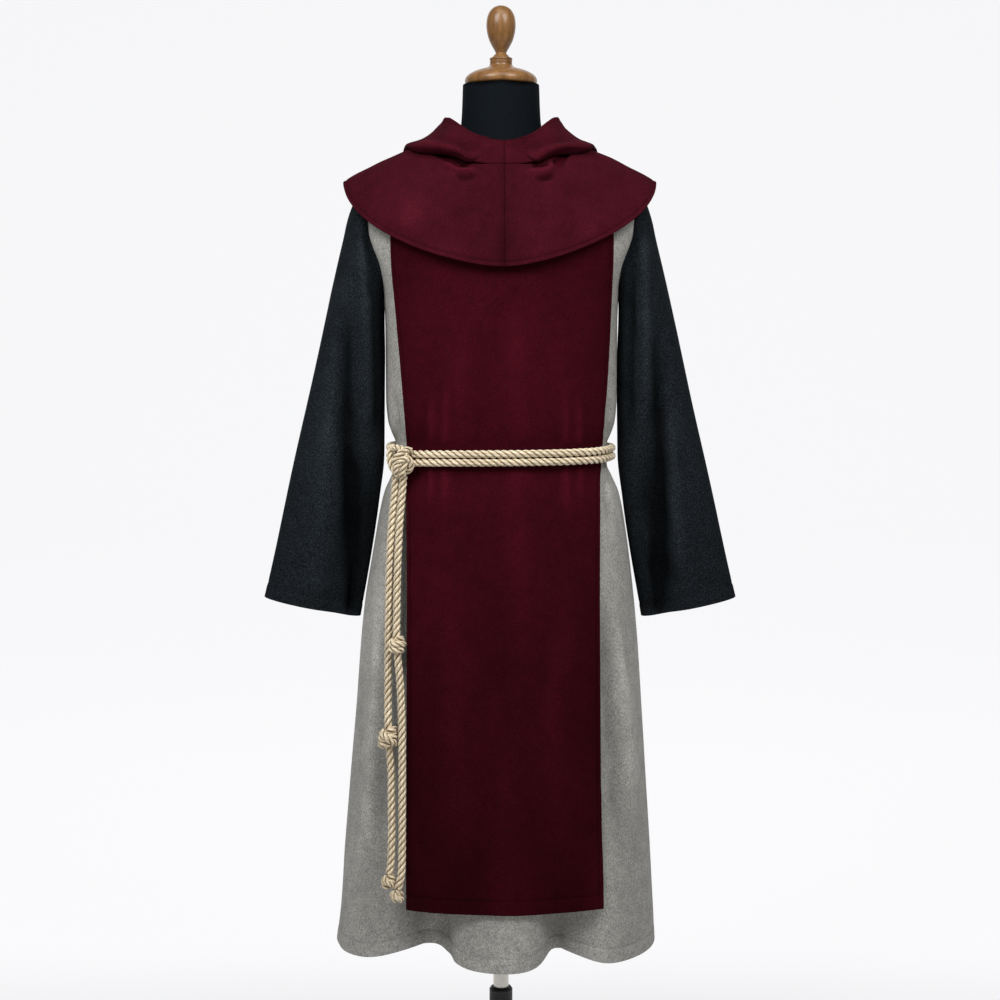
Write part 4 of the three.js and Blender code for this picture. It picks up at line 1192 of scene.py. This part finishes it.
def hood_half(name, side):
    profile = np.concatenate([np.linspace(0, 3.6, 22), np.linspace(3.7, 5.6, 24), np.linspace(5.75, 7.75, 20),
                              HOOD_SPANS - EDGE[::-1] / HOOD_SPAN])
    along = spaced(0, HOOD_HALF, 3.2)
    controls = hood_curves(180 - along / HOOD_HALF * 180 - (0 if side > 0 else 180))
    grid = np.stack([curve_at(controls, place) for place in profile])
    seam = np.minimum(along, HOOD_HALF - along)[None, :]
    up = profile[:, None]
    shown = smooth(4, 5, up)
    uneven = 1.3 * ripple(grid, 70, 51 if side > 0 else 52) + 0.5 * ripple(grid, 34, 53)
    lift = uneven * shown * (1 - 0.6 * smooth(7.3, 8, up)) * smooth(0, 20, seam)
    ahead = smooth(10, 50, -grid[..., 1])
    lift = lift + creases(grid, HOOD_CREASES) * smooth(4.6, 5.4, up) * ahead * smooth(0, 20, seam)
    edge = (HOOD_SPANS - up) * HOOD_SPAN
    pressed = groove(edge, EDGE_STITCH) * shown + groove(seam, 0, 0.7, 2.5)
    grid = lifted_grid(grid, lift + pressed + allowance(edge, EDGE_STITCH, 0.4) * shown)
    sheet = cloth(f"hood_{name}", grid, "cape", (lift + 3 * pressed) / 6, finish=keep_half(side))
    places = [(row_at(HOOD_SPANS - EDGE_STITCH / HOOD_SPAN, profile), np.linspace(1, len(along) - 2, 400))]
    return sheet[0], stitches(f"hood_{name}_stitches", sheet, places, "cape")


sheets["hood_right"] = hood_half("right", 1)
sheets["hood_left"] = hood_half("left", -1)


# ---- rope
ROPE = 12.4
ROPE_LAY = 33           # one whole turn of the three strands
STRAND_SIDES = 12
ROPE_IN_STRANDS = 2.155  # how many strands' widths make the rope's
YARN_RUN = 0.11         # bands of yarn in a millimetre of a strand
YARN_TURNS = 2.0        # and round it
SWELL = 0.035           # how far a strand's radius swells and narrows along it
SWELL_PACE = 1.9


def resampled(route, step):
    fine = curve_through(route, 24 * len(route))
    length = np.concatenate([[0], np.cumsum(np.linalg.norm(np.diff(fine, axis=0), axis=1))])
    marks = np.linspace(0, length[-1], max(int(length[-1] / step), 8))
    return np.stack([np.interp(marks, length, fine[:, i]) for i in range(3)], axis=-1), marks


def frames_along(line):
    ahead = unit(np.gradient(line, axis=0))
    side = np.zeros_like(line)
    start = np.cross(ahead[0], (0, 0, 1) if abs(ahead[0][2]) < 0.9 else (0, 1, 0))
    side[0] = unit(start)
    for i in range(1, len(line)):
        carried = side[i - 1] - ahead[i] * (side[i - 1] @ ahead[i])
        side[i] = unit(carried)
    return side, np.cross(ahead, side)


def laid_rope(route, diameter=ROPE, lay=ROPE_LAY, step=1.5, phase=0.0):
    """Points, faces, UVs and crowns of a rope of three strands laid right-handed along a route."""
    line, marks = resampled(route, step)
    side, up = frames_along(line)
    strand = diameter / ROPE_IN_STRANDS
    core = strand / math.sqrt(3)
    points, faces, uv, crown = [], [], [], []
    around = np.linspace(0, 2 * math.pi, STRAND_SIDES + 1)[:-1]
    cosine, sine = np.cos(around)[:, None], np.sin(around)[:, None]
    for k in range(3):
        turn = 2 * math.pi * (marks / lay + k / 3) + phase
        centre = line + core * (np.cos(turn)[:, None] * side + np.sin(turn)[:, None] * up)
        ahead, out = unit(np.gradient(centre, axis=0)), unit(centre - line)
        out = unit(out - ahead * np.sum(out * ahead, axis=1, keepdims=True))
        across = np.cross(ahead, out)
        first = len(points)
        for i, mark in enumerate(marks):
            radius = strand / 2 * (1 + SWELL * math.sin(mark * SWELL_PACE + k * 2.1))
            points.extend(centre[i] + radius * (cosine * out[i] + sine * across[i]))
            uv.extend([(mark * YARN_RUN, a / (2 * math.pi) * YARN_TURNS) for a in around])
            # crown is 1 on a strand's outer side and 0 where it meets the others: it sets the rope's painted groove
            # shade.
            crown.extend(smooth(-0.1, 0.85, np.cos(around)))
        faces += [[first + f for f in face] for face in grid_faces(len(line), STRAND_SIDES, 0, True)]
        faces.append(list(range(first, first + STRAND_SIDES)))
        tail = len(points) - STRAND_SIDES
        faces.append(list(range(tail, tail + STRAND_SIDES))[::-1])
    return points, faces, uv, crown


def rope_piece(name, ropes, nodes):
    points, faces, uv, crown = [], [], [], []
    for more_points, more_faces, more_uv, more_crown in ropes:
        faces += [[len(points) + f for f in face] for face in more_faces]
        points += more_points
        uv += more_uv
        crown += more_crown
    return piece(name, points, faces, "rope", "form", nodes, uv, crown)


ROPE_PITCH_Z = 12.9
BELT_TURN = table("angle z lift", """
-60 1079 9
-30 1081 6
0 1082 5.5
50 1084 6.5
80 1086 2
100 1086 2
128 1086 6.5
180 1085 6
232 1087 6.5
260 1088 2
280 1087 3
300 1084 9
""")


def belt_route(level, start=-50, end=292, count=72):
    angle = np.linspace(start, end, count)
    route = body_point(np.full(count, float(WAIST)), wrapped(angle),
                       read(BELT_TURN, "angle", angle, "lift") + ROPE / 2)
    route[:, 2] = read(BELT_TURN, "angle", angle, "z") + level * ROPE_PITCH_Z / 2
    return route


rope_piece("belt_upper_rope", [laid_rope(belt_route(1))], ["belt_upper"])
rope_piece("belt_lower_rope", [laid_rope(belt_route(-1), phase=1.1)], ["belt_lower"])

STRAND_A = [
    (-163, -94, 1052.2), (-165.5, -94.5, 1020), (-169, -97, 983), (-172.5, -103, 922),
    (-174, -113.5, 830), (-174.5, -124, 738), (-174.3, -132, 695), (-174, -137.5, 673.4),
    (-173, -138.5, 652), (-171.8, -140, 631.6), (-169, -145, 600), (-168.8, -149.5, 571),
    (-168, -156, 510), (-169, -164, 466), (-171.5, -167, 445.6),
]
STRAND_B = [
    (-150.8, -99, 1052.2), (-153.5, -99.5, 1020), (-156.5, -102, 984), (-159.5, -110, 923),
    (-161, -123.5, 832), (-161, -130.5, 808.8), (-160.4, -132, 795), (-159.5, -133.5, 781),
    (-155, -139, 734), (-152.4, -147, 680), (-151.8, -154.5, 619), (-151.6, -161, 558),
    (-151.8, -168, 482), (-153, -172.5, 445), (-157.5, -174.5, 424),
]


KNOT_LAY = 2.6          # a knot's rope has one turn in so many diameters
KNOT_STEP = 1.1


def wound_knot(node, centre, tilt, radius, rope, turns, pitch, start=0.0, cross=True):
    """A hanging knot: a coil that leaves its core, goes round it and tucks in again, and one turn over it."""
    centre = np.asarray(centre, float)
    count = int(18 * turns) + 10
    share = np.linspace(0, 1, count)
    angle = start + 2 * math.pi * turns * share
    reach = radius * np.minimum(1, np.minimum(share, 1 - share) * count / 7) ** 0.6
    height = pitch * turns * (0.5 - share)
    side = reach * np.sin(angle)
    routes = [np.stack([side, -reach * np.cos(angle), height + tilt * side], axis=-1)]
    if cross:
        sweep = np.linspace(-1, 1, 12)
        routes.append(np.stack([
            radius * 0.95 * np.sin(sweep * 1.25),
            -(radius + rope * 0.42) * np.cos(sweep * 1.3) + 2,
            -pitch * turns * 0.44 * sweep,
        ], axis=-1))
    ropes = [laid_rope(route + centre, rope, rope * KNOT_LAY, KNOT_STEP) for route in routes]
    return rope_piece(f"{node}_rope", ropes, [node])


strand_a, strand_b = [
    rope_piece(f"{name}_rope", [laid_rope(route, phase=phase)], [f"{name}_upper", f"{name}_lower"])
    for name, route, phase in (("strand_a", STRAND_A, 0.4), ("strand_b", STRAND_B, 2.0))]
knot_a = wound_knot("strand_a_knot", (-173.5, -140, 652.5), 0.4, 10.6, 11.4, 2.2, 9.4)
knot_b = wound_knot("strand_b_knot", (-159.8, -134, 795), 0.12, 9.2, 10.4, 2.3, 8.4, 0.6, False)
tip_a = wound_knot("strand_a_tip", (-172.5, -167.5, 434), 0.25, 7.2, 9.4, 2.0, 7.2)
tip_b = wound_knot("strand_b_tip", (-159.5, -175, 412.8), -0.25, 7.0, 9, 1.9, 7.0)

HITCH_WRAP = [
    (-139, -103, 1092), (-146, -113, 1094), (-156, -116, 1088), (-163, -111, 1078), (-161, -104, 1066),
    (-152, -101, 1060), (-143, -106, 1062), (-138, -112, 1070), (-142, -117, 1080), (-152, -119, 1079),
    (-160, -115, 1068), (-160, -107, 1058), (-160, -100, 1054)]
HITCH_OVER = [
    (-168, -88, 1094), (-161, -102, 1097), (-152, -109, 1094), (-146, -113, 1084), (-149, -117, 1070),
    (-152, -112, 1058), (-152, -104, 1053)]
HITCH_LOOP = [(-166, -82, 1098), (-171, -89, 1092), (-172, -94, 1080), (-169, -97, 1068), (-163, -100, 1058)]
rope_piece("belt_hitch_rope", [
    laid_rope(HITCH_WRAP, 10.6, 28, 1.2), laid_rope(HITCH_OVER, 10.6, 28, 1.2, 1.0),
    laid_rope(HITCH_LOOP, 11, 30, 1.2, 2.0)], ["belt_hitch"])

# ---- dress form, wood and stand
TORSO_ROWS, TORSO_SIDES = 150, 120
torso_stations = np.linspace(0, 790, TORSO_ROWS)[:, None]
torso_angles = np.linspace(-180, 180, TORSO_SIDES + 1)[:-1][None, :]
torso_grid = ring_point(TORSO, torso_stations, torso_angles, *TUNIC_CREST)
torso_faces = grid_faces(TORSO_ROWS, TORSO_SIDES, 0, True)
torso_rims = np.arange(TORSO_ROWS * TORSO_SIDES).reshape(TORSO_ROWS, TORSO_SIDES)[[0, -1]].tolist()
torso_faces += [torso_rims[0], torso_rims[1][::-1]]
form = piece("form_body", torso_grid.reshape(-1, 3), torso_faces, "jersey", "form", ["dress_form"])
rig.padded(form, 1.0)


def turned(name, profile, slot, body, nodes, segments=96):
    """A turned piece: a profile of (radius, height) that starts and ends on the axis or closes on itself."""
    profile = np.asarray(profile, float)
    angle = np.linspace(0, 2 * math.pi, segments + 1)[:-1]
    points = np.stack([np.outer(profile[:, 0], np.cos(angle)), np.outer(profile[:, 0], np.sin(angle)),
                       np.repeat(profile[:, 1:2], segments, axis=1)], axis=-1).reshape(-1, 3)
    return piece(name, points, grid_faces(len(profile), segments, 0, True), slot, body, nodes)


def softened(profile, radius=0.8):
    """Rounds each inner corner of a profile with two extra points."""
    made = [profile[0]]
    for before, corner, after in zip(profile[:-2], profile[1:-1], profile[2:]):
        before, corner, after = (np.asarray(p, float) for p in (before, corner, after))
        for other, share in ((before, 1), (before, 0.4), (after, 0.4), (after, 1)):
            way = other - corner
            reach = min(radius, 0.45 * np.linalg.norm(way))
            made.append(tuple(corner + unit(way) * reach * share))
    return made + [profile[-1]]


def rounded_profile(points, count):
    """A smooth run of (radius, height) points through the given ones."""
    return [tuple(point) for point in curve_through(points, count)]


CAP_BOTTOM = 1662.3
CAP_HEIGHT = 33
RING_BOTTOM = CAP_BOTTOM + CAP_HEIGHT + 0.3
EGG_BOTTOM = RING_BOTTOM + 17
FINIAL_TOP = 1785.6
cap_curve = rounded_profile([
    (54.5, 0), (56.3, 2.2), (56.9, 5.5), (56.3, 9.5), (53.6, 13.6), (48.6, 17.4), (41.5, 21),
    (33, 23.8), (25.5, 26), (20.3, 28.2), (18, 30.6), (17.6, CAP_HEIGHT)], 60)
turned("cap_wood", [(0.01, CAP_BOTTOM)] + [(r, CAP_BOTTOM + h) for r, h in cap_curve]
       + [(0.01, CAP_BOTTOM + CAP_HEIGHT)], "wood", "form", ["neck_cap"])
ring_profile = softened([
    (0.01, 0), (17.4, 0), (17.4, 5.2), (18.2, 6.6), (17.6, 8.4), (13.8, 9.6), (11.6, 12.5), (8.6, 15.2),
    (8.2, 16.6)], 0.8)
egg = rounded_profile([
    (0, 0.37), (0.05, 0.45), (0.14, 0.62), (0.28, 0.83), (0.44, 0.96), (0.6, 1), (0.75, 0.94),
    (0.87, 0.77), (0.95, 0.52), (0.99, 0.24)], 60)
finial_profile = [(r, RING_BOTTOM + h) for r, h in ring_profile]
finial_profile += [(23 * width, EGG_BOTTOM + (FINIAL_TOP - EGG_BOTTOM) * up) for up, width in egg]
turned("finial_wood", finial_profile + [(0.01, FINIAL_TOP)], "wood", "form", ["finial"])

plate = softened([(0.01, 0), (183, 0), (185, 3), (182, 8), (171, 11), (46, 16), (0.01, 16)], 1.6)
turned("base_plate", plate, "base", "stand", ["base"], 160)
turned("outer_tube_steel", softened([(13.3, 16.36), (16, 16.36), (16, 196), (13.3, 196), (13.3, 16.36)], 0.5),
       "steel", "stand", ["outer_tube"])
# The clamp collar is knurled: shallow grooves, one above the other.
collar_profile = [(16.36, 168), (17.8, 168), (18.8, 171)]
for height in np.arange(174, 206, 3.2):
    collar_profile += [(18.8, height), (18.3, height + 0.8), (18.3, height + 1.4), (18.8, height + 2.2)]
collar_profile += [(18.8, 208), (15.8, 212), (13.3, 212), (13.3, 196.36), (16.36, 196.36), (16.36, 168)]
turned("collar_clamp", collar_profile, "collar", "stand", ["clamp_collar"])
turned("pole_steel", softened([(0.01, 150), (12.5, 150), (12.5, 852.64), (0.01, 852.64)], 0.6),
       "steel", "form", ["inner_pole"])

# ---- what each soft piece is
path_a = resampled(STRAND_A, 12)[0] * MM
path_b = resampled(STRAND_B, 12)[0] * MM
for cord, path, pieces in ((strand_a, path_a, [knot_a, tip_a]), (strand_b, path_b, [knot_b, tip_b])):
    length = float(np.linalg.norm(np.diff(path, axis=0), axis=1).sum())
    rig.cord(cord, exit=path[0], length=round(length, 3), diameter=ROPE * MM, far_end="knot", stiffness="limp",
            lay="hanging", path=path, with_pieces=pieces)

for nodes, size, area, held, rests in (
        (["tunic_front"], (0.80, 1.32), 0.712, "draped", ["dress_form"]),
        (["tunic_back"], (0.79, 1.32), 0.697, "draped", ["dress_form"]),
        (["sleeve_right", "sleeve_left"], (0.47, 0.69), 0.211, "hung", ["tunic_front", "tunic_back"]),
        (["scapular_front"], (0.335, 1.22), 0.387, "draped", ["tunic_front"]),
        (["scapular_back"], (0.335, 1.22), 0.392, "draped", ["tunic_back"]),
        (["cape_right", "cape_left"], (0.56, 0.19), 0.090, "draped", ["tunic_front", "scapular_front"]),
        (["hood_right"], (0.44, 0.31), 0.122, "folded", ["cape_right"]),
        (["hood_left"], (0.44, 0.31), 0.122, "folded", ["cape_left"])):
    for made, thread in (sheets[node] for node in nodes):
        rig.sheet(made, flat=size, held=held, rests_on=rests, area=area, with_pieces=[thread])

# ---- floor, light
LIGHT_TARGET = Vector((0, 0, 1.3))


def soft_light(name, place, size, power, spread):
    lamp = bpy.data.lights.new(name, "AREA")
    lamp.shape = "RECTANGLE"
    lamp.size, lamp.size_y = size
    lamp.energy = power
    lamp.spread = math.radians(spread)
    made = bpy.data.objects.new(name, lamp)
    made.location = place
    made.rotation_euler = (LIGHT_TARGET - Vector(place)).to_track_quat("-Z", "Y").to_euler()
    bpy.context.scene.collection.objects.link(made)


sweep_y = [-4, -2, -1, 0, 0.4, 0.8, 1.5, 2.6, 3.4, 3.9, 4.2, 4.3, 4.32, 4.32]
sweep_z = [-0.001] * 7 + [0.03, 0.2, 0.55, 1.1, 1.9, 3.5, 5.5]
sweep = [(x, y, z) for y, z in zip(sweep_y, sweep_z) for x in (-4.2, 4.2)]
floor_mesh = bpy.data.meshes.new("floor")
floor_mesh.from_pydata(sweep, [], [[2 * i, 2 * i + 1, 2 * i + 3, 2 * i + 2] for i in range(len(sweep_y) - 1)])
floor_mesh.polygons.foreach_set("use_smooth", [True] * len(floor_mesh.polygons))
floor = bpy.data.objects.new("floor", floor_mesh)
bpy.context.scene.collection.objects.link(floor)
paper = Material("pale_paper", 0.9)
behind = paper.step(paper.node("SeparateXYZ", "Y", {"Vector": paper.place}), -0.2, 0.9)
glow = paper.node("MapRange", "Result", {"Value": behind, "To Min": 0.3, "To Max": 0.9})
floor_mesh.materials.append(paper.finish(paper.ramp(behind, (0.0, 0.66), (1.0, 0.08)), None, {
    "Emission Color": (0.985, 0.985, 1, 1), "Emission Strength": glow}))
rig.stage(floor)

world = bpy.data.worlds.new("studio")
world.use_nodes = True
world.node_tree.nodes["Background"].inputs["Color"].default_value = (0.97, 0.98, 1, 1)
world.node_tree.nodes["Background"].inputs["Strength"].default_value = 0.24
bpy.context.scene.world = world
soft_light("key_left", (-1.0, -1.5, 2.7), (1.0, 1.0), 11, 100)
soft_light("key_right", (1.0, -1.5, 2.7), (1.0, 1.0), 9, 100)
soft_light("top", (0, -0.7, 2.9), (1.2, 0.8), 3, 110)
bpy.context.scene.view_settings.view_transform = "Standard"

low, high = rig.bounds()
with open("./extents.json", "w") as out:
    json.dump({"cad": [list(cad_low), list(cad_high)], "visual": [list(low), list(high)]}, out)
